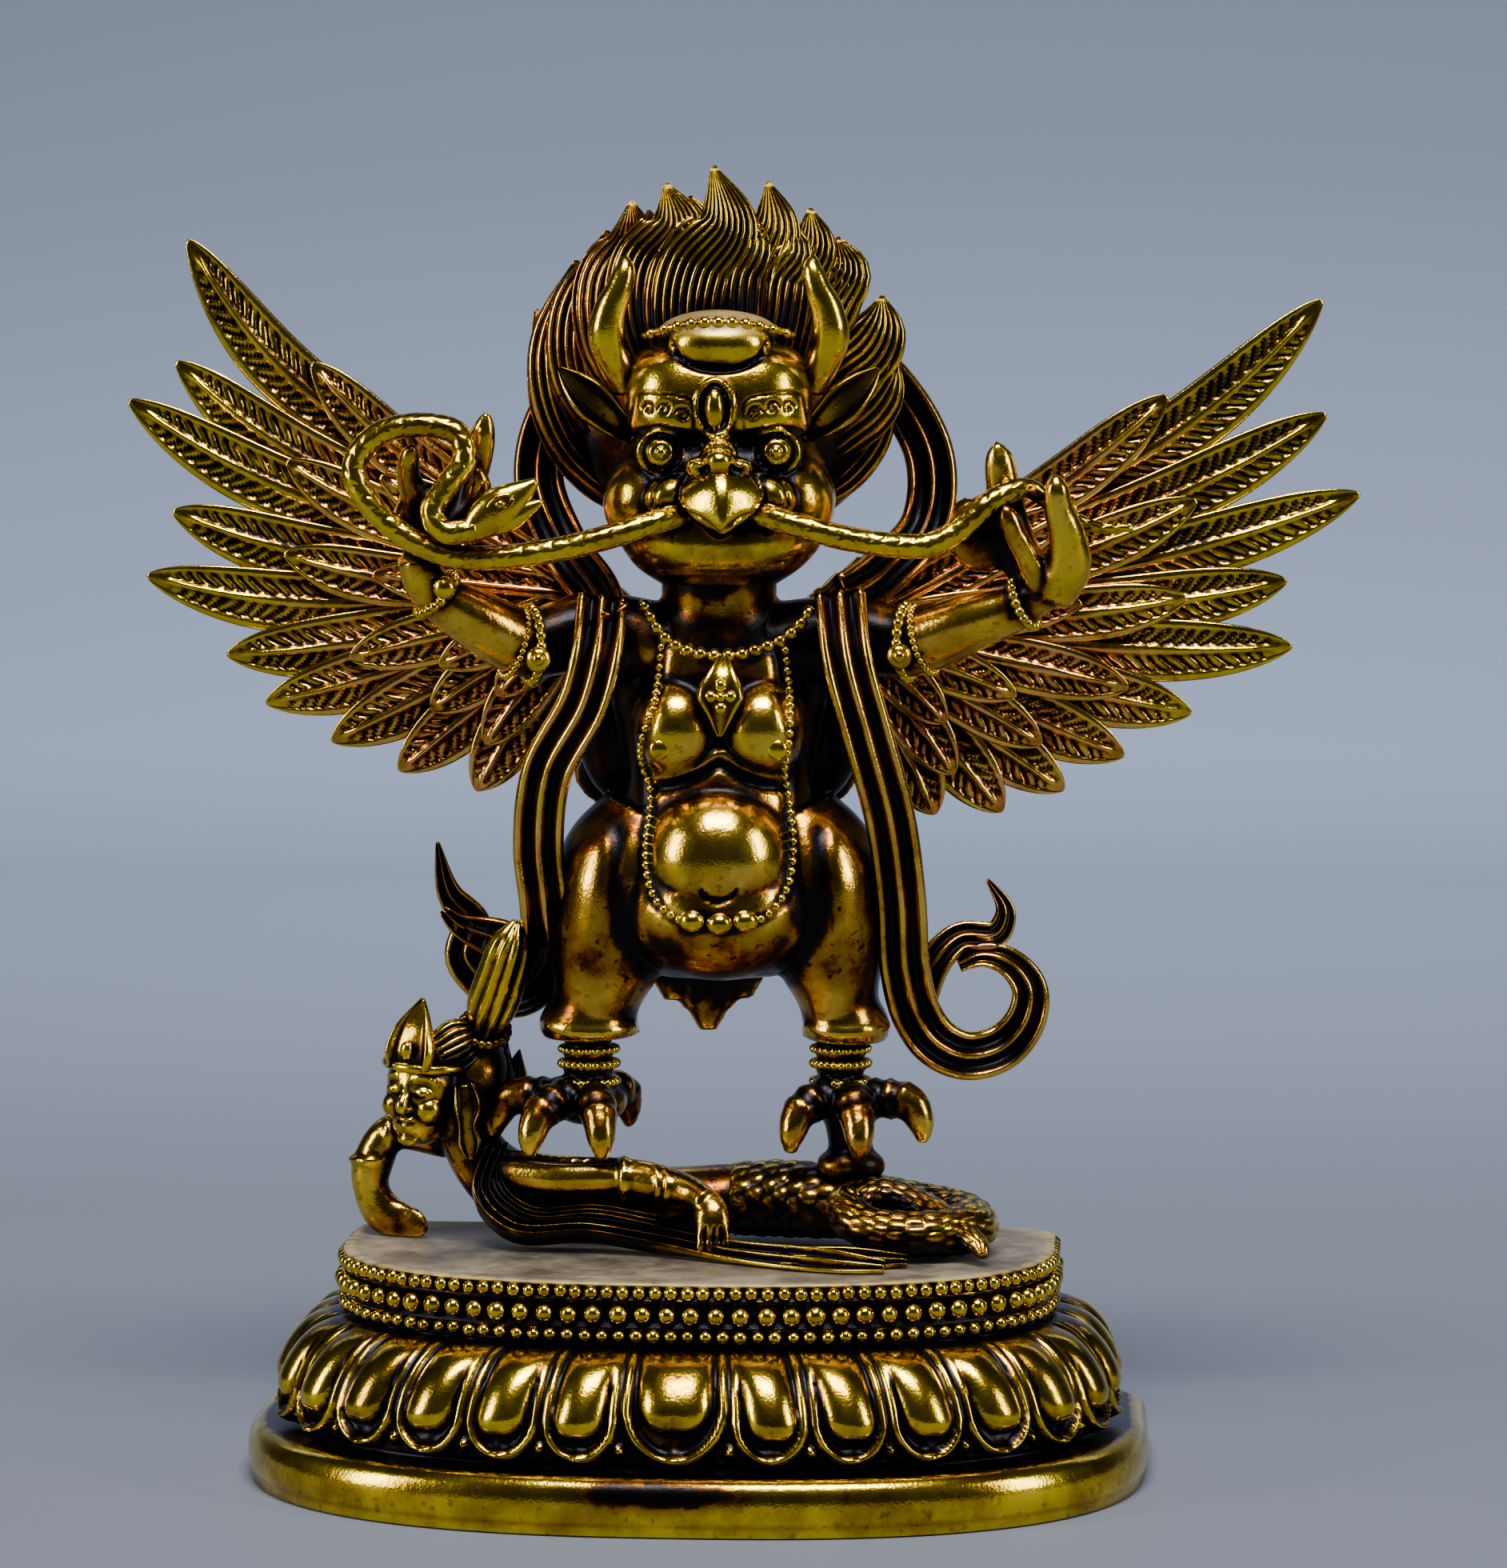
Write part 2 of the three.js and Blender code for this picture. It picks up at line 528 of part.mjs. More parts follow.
// The torso, with the round belly, the breasts, a belt under the belly and a necklace with its pendant.
function body() {
  const torso = [[32.5, 0, 2, 7, 7], [37.5, 0, 0, 13, 12], [43, 0, 0, 14.2, 14], [50, 0, 0, 13.6, 13.6],
    [60, 0, 0.5, 11.5, 10], [70, 0, 1, 13, 9.6], [77, 0, 1.4, 12.4, 8.6], [81, 0, 1.2, 8, 7.2],
    [90, 0, 0, 7.6, 7]];
  const pendant = [[0.6, -7.5, 75.4, 0.3, 1.6], [0.4, -9.4, 70.4, 2.7, 1], [0.2, -9.6, 65.4, 0.3, 1.4]];
  const string = (y, z, wide, deep, high) => [0, 0.25, 0.5, 0.75, 1].map((share) => {
    const angle = Math.PI * share;
    return [wide * Math.cos(angle), y - deep * Math.sin(angle), z - high * Math.sin(angle), 0.8];
  });
  return [
    upright(torso, 10),
    lump(-0.2, -6.8, 50.5, 10.2, 8.6, 10, 10, 6),
    lump(-5.2, -5.4, 67.4, 5.4, 5, 6, 8, 5),
    lump(5.2, -5.4, 67.4, 5.4, 5, 6, 8, 5),
    sweep(string(-8, 43.4, 9.6, 5, 8), { section: round(4), steps: 6 }),
    sweep(string(-3.6, 79.6, 9.4, 5.2, 5), { section: round(4), steps: 6 }),
    sweep(pendant, { section: lockSection, steps: 2 }),
  ];
}

// A bird's foot: a rounded ball with three clawed toes in front and one behind.
function foot(x, toes) {
  const parts = [lump(x, -0.5, 17.2, 4.8, 4.8, 2.9, 8, 5)];
  for (const [tipX, tipY, tipZ] of toes) {
    const toe = [
      [x, -0.5, 17.6, 2.3],
      [x * 0.35 + tipX * 0.65, tipY * 0.6 - 0.5, 18, 2],
      [x * 0.06 + tipX * 0.94, tipY * 0.95, tipZ + 3, 1.5],
      [tipX, tipY, tipZ, 0.4],
    ];
    parts.push(sweep(toe, { section: round(4), steps: 3 }));
  }
  return parts;
}

// Wide trousers end in a hem above each ankle. A peg under one foot holds the figure to the plinth, and
// the short tail and the cloth over the back stand out behind.
function legs() {
  const leftLeg = [[-9, 1, 55, 8, 9], [-12.2, 0.4, 48.4, 8.8, 10.6], [-14, 0, 42, 8.2, 9.8],
    [-15.8, 0, 35, 6.8, 7.6], [-17, 0, 29.5, 5.9, 6.4], [-17, 0, 26.7, 5.7, 6]];
  const rightLeg = [[9, 1, 55, 8, 9], [12.2, 0.4, 48.4, 8.8, 10.6], [13.8, 0, 42, 8, 9.8],
    [15.2, 0, 35, 6.2, 7.4], [16.2, 0, 29.5, 4.8, 6], [16.4, 0, 26.2, 4.6, 5.6]];
  const ankle = (x) => upright([[17, x, 0, 3.3, 3.3], [20.4, x, 0, 3.4, 3.4], [21.2, x, 0, 4, 4],
    [22, x, 0, 3.2, 3.2], [29, x, 0, 3, 3]], 6);
  const peg = [[pegFoot, 17.2, -1.5, 3.4, 3.2], [12, 17.2, -1, 3, 3], [17, 17, -0.5, 3.4, 3.4]];
  const tail = [[-1.6, 9, 44, 8, 3], [-1.6, 10.5, 36, 8, 2.6], [-1.5, 10, 31, 6, 1.8],
    [-1.4, 9.4, 25, 1.6, 0.9]];
  return [
    sweep(leftLeg, { section: round(8), steps: 5 }),
    sweep(rightLeg, { section: round(8), steps: 5 }),
    ankle(-17.2),
    ankle(15.9),
    ...foot(-17.2, [[-24.6, -7, 11.9], [-15.2, -9.4, 11.9], [-29.6, 1, 12.4], [-12, 6, 14]]),
    ...foot(16.6, [[9.3, -6, 11.9], [18.2, -9.6, 11.7], [26.6, -3.4, 12.6], [17.6, 7, 13]]),
    upright(peg, 6),
    lump(-0.4, 9.6, 61, 20, 3.6, 9, 8, 4),
    sweep(tail, { steps: 4 }),
  ];
}

// Both arms reach out and up to the hands that hold the snake, with a beaded band on each.
function arms() {
  const leftArm = [[-8, 1, 77.5, 6.4], [-17, -0.5, 80, 5], [-24.5, -3, 78.4, 4.5], [-31, -6.4, 81.4, 4],
    [-37.6, -9.6, 86.4, 2.8], [-38.4, -11, 89.5, 2.6]];
  const leftHand = [[-38, -10.8, 88, 2.8, 2.2], [-36.6, -11.4, 93, 3.6, 2], [-34.4, -11, 98, 3.2, 1.8],
    [-32.6, -10.4, 105.6, 1.1, 1]];
  const rightArm = [[8, 1, 77.5, 6.4], [17, -0.5, 79.4, 5.2], [24.5, -3, 78.6, 4.6], [32, -6.4, 81.2, 4],
    [40, -9.6, 84.4, 2.8], [43, -10.6, 86.4, 2.7]];
  const rightThumb = [[43, -10.8, 85, 3, 2.6], [44.4, -12, 90, 3.3, 2.6], [43, -13.2, 95, 2.2, 2],
    [42.4, -14, 98.2, 0.9, 0.9]];
  const rightFinger = [[40.5, -9.5, 86, 2.4, 2.2], [38, -9.5, 93, 2.4, 2], [36.8, -9, 99, 1.8, 1.5],
    [35.6, -8.6, 102.4, 0.9, 0.8]];
  return [
    sweep(leftArm, { steps: 5 }),
    sweep(leftHand, { steps: 4 }),
    sweep(rightArm, { steps: 5 }),
    sweep(rightThumb, { steps: 4 }),
    sweep(rightFinger, { steps: 3 }),
    lump(-24.4, -3, 78.2, 1.2, 5, 5, 6, 4),
    lump(24.4, -3, 78.6, 1.2, 5.1, 5.1, 6, 4),
  ];
}

// The snake: bitten in the middle, with its head looped through the left hand and its tail over the right.
function snake() {
  const headHalf = [[-3, -12.5, 95.6], [-6.4, -14, 94.4], [-13, -14.4, 92.7], [-20.1, -14.4, 90.9],
    [-28.2, -14, 89.8], [-34.3, -13.6, 90.1], [-40.4, -13.4, 92.9], [-45, -13.2, 97.5],
    [-46.3, -13, 101.5], [-43.4, -13, 105.3], [-37.8, -13.4, 106.6], [-33, -14, 105.4],
    [-32.2, -14.4, 102], [-34.3, -14.6, 99], [-36.2, -14.8, 95.6], [-34.6, -15.1, 93.2],
    [-30.6, -15.5, 93.4]];
  const tailHalf = [[3, -12.5, 95.8], [5.8, -14, 94.9], [10.4, -14.4, 93.7], [15.5, -14.4, 92.4],
    [21.6, -14.2, 91.4], [26.7, -14, 91.4], [30.7, -13.6, 93.4], [34.8, -13.2, 96.9],
    [39.3, -12, 98.6], [43.4, -10.4, 95.9], [48, -9.4, 93.7], [53.1, -9, 93.5]];
  const snakeHead = [[-31, -15.5, 93.2, 1.6, 1.4], [-27.6, -15.7, 95.5, 2.5, 1.7],
    [-25, -15.5, 97.1, 1.6, 1.1], [-23.8, -15.3, 97.7, 0.5, 0.5]];
  const tube = (points, steps, thinning) => sweep(points.map(([x, y, z], k) => (
    [x, y, z, snakeRadius * Math.min(1, (points.length - k) / thinning)])), { section: round(4), steps });
  return [
    tube(headHalf, 21, 1),
    tube(tailHalf, 11, 5),
    sweep(snakeHead, { steps: 4 }),
  ];
}

// The scarf: a flat ribbon with three ridges. It stands in a loop behind the head, comes forward over
// the shoulders, hangs outside the thighs and ends in curls.
function scarf() {
  const leftLoop = [[-13, 10, 116], [-22, 11, 108], [-23.6, 10, 100], [-20.4, 7, 91], [-16, 1, 85.5],
    [-14.6, -6.4, 81.6]];
  const leftEnd = [[-15, -4.5, 84.4], [-15.6, -7.6, 77], [-17.4, -7.4, 70.6], [-22.4, -6, 62],
    [-23.4, -5, 52.4], [-22.4, -4, 44], [-22.6, 3, 36, 1.1], [-28, 9, 31.5, 1], [-33.6, 9.6, 36, 0.9],
    [-33, 9.6, 40.5, 0.8], [-36, 9, 45, 0.5], [-37.4, 8, 51.6, 0.1]];
  const rightLoop = [[13, 10, 118], [22, 11, 112], [27.4, 10, 103], [27, 8, 94], [22, 3, 88],
    [16.6, -4, 84.4]];
  const rightEnd = [[15.6, -4.5, 85], [16.4, -7.6, 76.4], [19.4, -7, 66], [22.2, -6, 55.5], [23.6, -5, 45],
    [24.2, -3, 36], [26, 0, 29.4], [32, 2, 24.2], [38.6, 3, 26.2], [41, 3, 32, 0.9],
    [38, 3, 36.6, 0.7], [33.4, 3, 37, 0.45]];
  const rightFlame = [[26.4, 1, 31, 0.8], [29, 2, 37, 0.7], [33.6, 3, 40, 0.55], [37.6, 3, 40.6, 0.55],
    [37, 3, 43.4, 0.4], [35.2, 3, 47.2, 0.1]];
  const ribbon = (points, steps) => sweep(
    points.map(([x, y, z, wide = 1]) => [x, y, z, ribbonHalf * wide, ribbonThick]),
    { section: ribbonSection, steps },
  );
  return [
    ribbon(leftLoop, 4), ribbon(leftEnd, 13), ribbon(rightLoop, 4), ribbon(rightEnd, 14),
    ribbon(rightFlame, 6),
  ];
}

function garuda() {
  return cast([...body(), ...head(), ...hair(), ...legs(), ...arms(), ...snake(), ...scarf(),
    ...wing("left"), ...wing("right")]);
}

const plinth = lotusPlinth();
const nagaSolid = naga();
const garudaSolid = garuda();

const figure = new THREE.Group();
figure.position.set(figureOffset, 0, 0).applyAxisAngle(v3(0, 0, 1), figureTurn);
figure.position.z = plinthTop + castingGap;
figure.rotation.z = figureTurn;
figure.add(mesh("naga_figure", nagaSolid, darkBrass));
figure.add(mesh("garuda_figure", garudaSolid, brass));

const model = new THREE.Group();
model.add(mesh("lotus_plinth", plinth, plinthBrass));
model.add(figure);

export default model;
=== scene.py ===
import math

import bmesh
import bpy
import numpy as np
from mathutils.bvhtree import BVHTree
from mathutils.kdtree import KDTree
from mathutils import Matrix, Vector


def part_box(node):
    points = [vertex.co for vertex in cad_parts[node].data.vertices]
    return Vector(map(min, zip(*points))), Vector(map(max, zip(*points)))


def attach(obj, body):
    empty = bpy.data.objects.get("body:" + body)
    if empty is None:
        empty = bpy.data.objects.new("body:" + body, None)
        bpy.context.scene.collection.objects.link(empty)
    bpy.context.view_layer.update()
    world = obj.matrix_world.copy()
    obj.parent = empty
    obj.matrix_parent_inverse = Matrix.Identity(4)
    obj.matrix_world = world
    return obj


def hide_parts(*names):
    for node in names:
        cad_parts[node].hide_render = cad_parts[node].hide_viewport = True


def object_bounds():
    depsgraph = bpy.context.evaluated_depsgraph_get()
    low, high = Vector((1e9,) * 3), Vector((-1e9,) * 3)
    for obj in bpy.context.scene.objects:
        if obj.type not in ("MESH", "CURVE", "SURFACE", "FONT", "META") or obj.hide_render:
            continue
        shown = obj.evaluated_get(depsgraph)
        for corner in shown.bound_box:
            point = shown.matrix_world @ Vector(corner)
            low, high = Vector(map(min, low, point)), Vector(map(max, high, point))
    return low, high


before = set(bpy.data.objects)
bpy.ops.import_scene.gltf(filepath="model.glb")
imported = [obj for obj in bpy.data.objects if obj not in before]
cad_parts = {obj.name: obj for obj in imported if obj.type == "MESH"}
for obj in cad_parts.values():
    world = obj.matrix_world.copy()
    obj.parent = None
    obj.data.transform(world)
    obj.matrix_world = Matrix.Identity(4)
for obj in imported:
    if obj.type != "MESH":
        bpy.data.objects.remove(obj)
cad_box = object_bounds()

# %% [markdown]
# # A garuda of cast brass
# The statuette is 170 mm high. A garuda, half bird and half man, stands on a naga and bites a snake. It was
# cast in pieces by the lost-wax way: a plinth, the naga and the garuda. The hollows were blackened, and the
# high places were rubbed bright again. So the model needs two things: crisp relief, and a finish that knows
# which places are high and open and which are deep and shut in. Shut-in places also get painted shade.
# All shapes are made as arrays of points in millimetres. That is quick, and every ridge and groove is real
# geometry. The CAD frame gives the size, and each piece here stands where the CAD solid stands.

MM = 0.001
FRONT = np.array([0.0, -1.0, 0.0])
UP = np.array([0.0, 0.0, 1.0])
FIGURE_TURN = math.radians(4)
FIGURE_OFFSET = 2.6
CASTING_GAP = 0.35
PLINTH_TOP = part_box("lotus_plinth")[1].z / MM
OBJECT_TOP = cad_box[1].z / MM
rng = np.random.default_rng(17)


def unit(vectors):
    """Vectors of length one."""
    return vectors / np.maximum(np.linalg.norm(vectors, axis=-1, keepdims=True), 1e-9)


def on_plinth(points):
    """From the figure's frame, which stands turned a little on the plinth, to the plinth's own."""
    c, s = math.cos(FIGURE_TURN), math.sin(FIGURE_TURN)
    x = points[:, 0] + FIGURE_OFFSET
    placed = np.column_stack([x * c - points[:, 1] * s, x * s + points[:, 1] * c, points[:, 2]])
    return placed + [0, 0, PLINTH_TOP + CASTING_GAP]


print(f"plinth top at {PLINTH_TOP:.1f} mm, whole height {OBJECT_TOP:.1f} mm")

# %% [markdown]
# ## Curves and lofts
# Arms, snake, scarf, locks and horns are all the same kind of thing: an outline carried along a curve. In
# Blender one could bevel a curve object, but the outline here changes all the way and carries relief. So the
# rings are worked out directly: a smooth curve through a few points, even steps along it, and a ring at each.

# %% Smooth curves in even steps
def smooth_path(points, pitch):
    """A smooth curve through the points in even steps. Columns after x, y and z run along with them."""
    points = np.asarray(points, float)
    gaps = np.linalg.norm(np.diff(points[:, :3], axis=0), axis=1)
    knots = np.concatenate([[0], np.cumsum(np.sqrt(gaps))])
    slope = np.gradient(points, knots, axis=0)
    fine = np.linspace(0, knots[-1], 30 * len(knots))
    k = np.clip(np.searchsorted(knots, fine, side="right") - 1, 0, len(knots) - 2)
    step = (knots[k + 1] - knots[k])[:, None]
    s = (fine - knots[k])[:, None] / step
    curve = (
        (2 * s**3 - 3 * s**2 + 1) * points[k]
        + (s**3 - 2 * s**2 + s) * step * slope[k]
        + (3 * s**2 - 2 * s**3) * points[k + 1]
        + (s**3 - s**2) * step * slope[k + 1]
    )
    run = np.concatenate([[0], np.cumsum(np.linalg.norm(np.diff(curve[:, :3], axis=0), axis=1))])
    even = np.linspace(0, run[-1], max(int(round(run[-1] / pitch)), 4) + 1)
    return np.column_stack([np.interp(even, run, column) for column in curve.T])


def turned_frames(path, facing):
    """At each step of a path: the way along it, the way out to the facing side, and the way across."""
    along = unit(np.gradient(path[:, :3], axis=0))
    out = np.empty_like(along)
    last = np.array(facing, float)
    for k, way in enumerate(along):
        turned = facing - (facing @ way) * way
        if np.linalg.norm(turned) < 0.25:
            turned = last - (last @ way) * way
        last = turned / np.linalg.norm(turned)
        out[k] = last
    return along, out, np.cross(out, along)


# %% Closed skins from rings
def closed_tube(rings):
    """A closed skin over rings of points: rings has the shape (steps, sides, 3)."""
    steps, sides = rings.shape[:2]
    i, k = np.arange(steps - 1)[:, None] * sides, np.arange(sides)[None]
    after = (k + 1) % sides
    a, b, c, d = i + k, i + after, i + sides + k, i + sides + after
    first, last = steps * sides, steps * sides + 1
    tail = (steps - 1) * sides
    faces = [
        np.stack([a, b, c], -1).reshape(-1, 3),
        np.stack([b, d, c], -1).reshape(-1, 3),
        np.stack([np.full(sides, first), after[0], k[0]], -1),
        np.stack([np.full(sides, last), tail + k[0], tail + after[0]], -1),
    ]
    ends = np.stack([rings[0].mean(0), rings[-1].mean(0)])
    points, faces = np.vstack([rings.reshape(-1, 3), ends]), np.vstack(faces)
    corner = points[faces] - points.mean(0)
    inside_out = np.einsum("ij,ij->", corner[:, 0], np.cross(corner[:, 1], corner[:, 2])) < 0
    return points, faces[:, ::-1] if inside_out else faces


def round_section(sides):
    """A circle: across, and out to the front."""
    turn = 2 * np.pi * (np.arange(sides) + 0.5) / sides
    return np.cos(turn), np.sin(turn)


def sweep(points, section=round_section(28), pitch=0.6, facing=FRONT, relief=None):
    """A section carried along a path. Each point is x, y, z, half width and, if it differs, half depth."""
    path = smooth_path([point if len(point) > 4 else (*point, point[3]) for point in points], pitch)
    _, out, across = turned_frames(path, facing)
    wide, deep = path[:, 3:4], path[:, 4:5]
    spokes = (across[:, None] * (wide * section[0])[..., None]
              + out[:, None] * (deep * section[1])[..., None])
    if relief is not None:
        run = np.arange(len(path))[:, None] * pitch
        around = np.arctan2(section[1], section[0])[None]
        spokes += unit(spokes) * relief(run, around, wide)[..., None]
    return closed_tube(path[:, None, :3] + spokes)


def upright(levels, sides=48, pitch=0.8, squareness=1.0):
    """A body standing up: each level is height, middle x, middle y, half width and half depth."""
    path = smooth_path([(x, y, z, w, d) for z, x, y, w, d in levels], pitch)
    turn = 2 * np.pi * np.arange(sides) / sides
    x, y = (np.sign(way) * np.abs(way) ** (1 / squareness) for way in (np.cos(turn), np.sin(turn)))
    ring = np.stack([x[None] * path[:, 3:4], y[None] * path[:, 4:5]], -1)
    flat = path[:, None, :2] + ring
    height = np.broadcast_to(path[:, None, 2:3], flat.shape[:2] + (1,))
    return closed_tube(np.concatenate([flat, height], -1))


# %% Rounded lumps and beads
def unit_ball(fineness):
    """A ball of radius one, of even triangles."""
    made = bmesh.new()
    bmesh.ops.create_icosphere(made, subdivisions=fineness, radius=1)
    made.verts.ensure_lookup_table()
    points = np.array([v.co for v in made.verts])
    faces = np.array([[v.index for v in f.verts] for f in made.faces])
    made.free()
    return points, faces


SMALL_BALL, FINE_BALL, LUMP_BALL = unit_ball(2), unit_ball(3), unit_ball(4)


def lump(x, y, z, wide, deep, high, ball=LUMP_BALL, tilt=0):
    """An ellipsoid; tilt turns it in the front view, in degrees."""
    turn = math.radians(tilt)
    p = ball[0] * [wide, deep, high]
    turned = np.column_stack([
        p[:, 0] * math.cos(turn) + p[:, 2] * math.sin(turn), p[:, 1],
        -p[:, 0] * math.sin(turn) + p[:, 2] * math.cos(turn),
    ])
    return turned + [x, y, z], ball[1]


def joined(solids):
    """Several skins as one set of points and triangles."""
    counts = np.cumsum([0] + [len(points) for points, _ in solids])
    points = np.vstack([p for p, _ in solids])
    return points, np.vstack([faces + start for (_, faces), start in zip(solids, counts)])


def beads(centres, radii, ball=SMALL_BALL):
    """Balls at the centres. A radius is one number or three half sizes."""
    return joined([(ball[0] * radius + centre, ball[1]) for centre, radius in zip(centres, radii)])


# %% [markdown]
# ## Castings
# A casting is one skin over many overlapping forms. Blender's voxel remesh gives just that: it lays a fine
# grid through all the forms and draws one surface round them. Smoothing then softens the joints, as wax does
# when it is worked. Booleans would keep the joints hard. Lines are drawn into the skin after it: each point
# moves along its normal by an amount that depends on how far it is from the line, seen from the front.

# %% A skin and its smoothing
def edges_of(triangles):
    """Each edge once."""
    pairs = np.vstack([triangles[:, [0, 1]], triangles[:, [1, 2]], triangles[:, [2, 0]]])
    return np.unique(np.sort(pairs, axis=1), axis=0)


def averaged(values, edges):
    """For each point, the mean of its neighbours' values."""
    count = len(values)
    a, b = edges[:, 0], edges[:, 1]
    share = np.maximum(np.bincount(a, minlength=count) + np.bincount(b, minlength=count), 1)
    flat = values.reshape(count, -1)
    sums = [np.bincount(a, v[b], count) + np.bincount(b, v[a], count) for v in flat.T]
    return (np.stack(sums, -1) / share[:, None]).reshape(values.shape)


def relaxed(points, edges, rounds, shrink=0.5, grow=-0.53):
    """Smoothing that keeps the size: a step in, then a step out."""
    for _ in range(rounds):
        for amount in (shrink, grow):
            points = points + amount * (averaged(points, edges) - points)
    return points


def normals_of(points, triangles):
    """The outward direction at each point."""
    corner = points[triangles]
    face = np.cross(corner[:, 1] - corner[:, 0], corner[:, 2] - corner[:, 0])
    return unit(np.stack([
        sum(np.bincount(triangles[:, k], face[:, axis], len(points)) for k in range(3)) for axis in range(3)
    ], -1))


def temporary_object(name, points, triangles):
    """A mesh object with these points and triangles, in the scene."""
    mesh = bpy.data.meshes.new(name)
    mesh.from_pydata(points.tolist(), [], triangles.tolist())
    obj = bpy.data.objects.new(name, mesh)
    bpy.context.scene.collection.objects.link(obj)
    return obj


def fuse(solids, voxel, rounds):
    """One casting from overlapping forms."""
    rough = temporary_object("rough", *joined(solids))
    remesh = rough.modifiers.new("fuse", "REMESH")
    remesh.mode = "VOXEL"
    remesh.voxel_size = voxel
    mesh = rough.evaluated_get(bpy.context.evaluated_depsgraph_get()).to_mesh()
    mesh.calc_loop_triangles()
    points = np.empty(len(mesh.vertices) * 3)
    triangles = np.empty(len(mesh.loop_triangles) * 3, int)
    mesh.vertices.foreach_get("co", points)
    mesh.loop_triangles.foreach_get("vertices", triangles)
    bpy.data.objects.remove(rough)
    points, triangles = points.reshape(-1, 3), triangles.reshape(-1, 3)
    return relaxed(points, edges_of(triangles), rounds), triangles


# %% Drawing on a skin
def gap_to_line(points, line):
    """Seen from the front: how far each point is from a drawn line."""
    nearest = np.full(len(points), 1e9)
    flat = points[:, [0, 2]]
    for start, end in zip(line[:-1], line[1:]):
        way = end - start
        length = max(np.linalg.norm(way), 1e-9)
        share = np.clip((flat - start) @ way / length**2, 0, 1)
        nearest = np.minimum(nearest, np.linalg.norm(flat - start - share[:, None] * way, axis=1))
    return nearest


def drawn(points, normals, line, wide, height, front_of=99.0, pitch=0.5):
    """Heights of a soft ridge, or of a groove if height is negative, along a line on the front."""
    curve = smooth_path([(x, 0, z) for x, z in line], pitch)[:, [0, 2]]
    gap = gap_to_line(points, curve)
    seen = np.clip((-normals[:, 1] - 0.1) * 4, 0, 1) * (points[:, 1] < front_of)
    return height * np.exp(-((gap / wide) ** 2)) * seen


def engraved(skin, marks):
    """A skin with marks drawn into it: each is a line, its width, its height and how far back it shows."""
    points, faces = skin
    normals = normals_of(points, faces)
    height = np.zeros(len(points))
    for mark in marks:
        height += drawn(points, normals, *mark)
    return points + normals * height[:, None], faces


def smooth_step(values, low, high):
    """0 below low, 1 above high, and smooth between."""
    share = np.clip((values - low) / (high - low), 0, 1)
    return share * share * (3 - 2 * share)


def surface_finder(points, triangles):
    """A function that finds the skin's front at x and z."""
    tree = BVHTree.FromPolygons(points.tolist(), triangles.tolist())

    def at(x, z, start=-60.0):
        hit = tree.ray_cast((x, start, z), (0, 1, 0))[0]
        return np.array(hit) if hit is not None else np.array([x, 0.0, z])

    return at


def bead_string(line, at, pitch, radius, sink=0.25):
    """Beads lying along a drawn line on a skin."""
    curve = smooth_path([at(x, z) for x, z in line], pitch)
    centres = np.array([at(x, z) for x, _, z in curve])
    centres[:, 1] += radius * sink
    return beads(centres, [radius] * len(centres))


castings = {}

# %% [markdown]
# ## The lotus plinth
# The plinth's plan is a D: a long round front and a flat back. On a real one the petals are modelled in wax,
# one by one, and chased after casting. Here the whole wall is one grid of rings, each a copy of the plan
# drawn in a little, and the relief of the petals is a height that is added outwards. Each petal is worked
# out from its distance to a U: a bright rim on the line, a dark channel inside it and a full bulb within.

# %% The plan, as in the CAD solid
PLATE_HALF_WIDTH, PLATE_FRONT, PLATE_BACK = 59.0, 44.0, 18.0
PLAN_ROUNDNESS, BACK_CORNER, BACK_INSET_SHARE = 2.5, 5.0, 0.35
FRONT_ARC_SHARE, SIDE_SHARE = 0.76, 0.92
PETAL_INSET, WAIST_INSET = 3.4, 12.6
PETAL_FOOT, PETAL_TOP = 8.2, 21.4
PLATE_TOP = 7.3
PETALS_PER_SIDE, CENTRE_PETAL = 9, 14.2


def half_plan(inset, share):
    """Half of the D, from the middle of the front to the end of the flat back, on the +X side."""
    half, deep, back = PLATE_HALF_WIDTH - inset, PLATE_FRONT - inset, PLATE_BACK - inset * BACK_INSET_SHARE
    arc = np.clip(share / FRONT_ARC_SHARE, 0, 1) * np.pi / 2
    side = np.clip((share - FRONT_ARC_SHARE) / (SIDE_SHARE - FRONT_ARC_SHARE), 0, 1)
    corner = np.clip((share - SIDE_SHARE) / (1 - SIDE_SHARE), 0, 1) * np.pi / 2
    power = 2 / PLAN_ROUNDNESS
    x = half * np.sin(arc) ** power - BACK_CORNER * (1 - np.cos(corner))
    y = -deep * np.abs(np.cos(arc)) ** power + side * (back - BACK_CORNER) + BACK_CORNER * np.sin(corner)
    return np.stack([x, y], -1)


def plan_shares(inset, lengths):
    """Shares of the half plan at given lengths along it, and the whole length."""
    share = np.linspace(0, 1, 1200)
    steps = np.linalg.norm(np.diff(half_plan(inset, share), axis=0), axis=1)
    run = np.concatenate([[0], np.cumsum(steps)])
    return np.interp(lengths, run, share), run[-1]


PETAL_RUN = plan_shares(PETAL_INSET, 0)[1]
COLUMN_PITCH = 0.45
column_run = np.linspace(0, PETAL_RUN, int(PETAL_RUN / COLUMN_PITCH) + 1)
column_share = plan_shares(PETAL_INSET, column_run)[0]
print(f"half of the petal row runs {PETAL_RUN:.1f} mm, in {len(column_run)} columns")


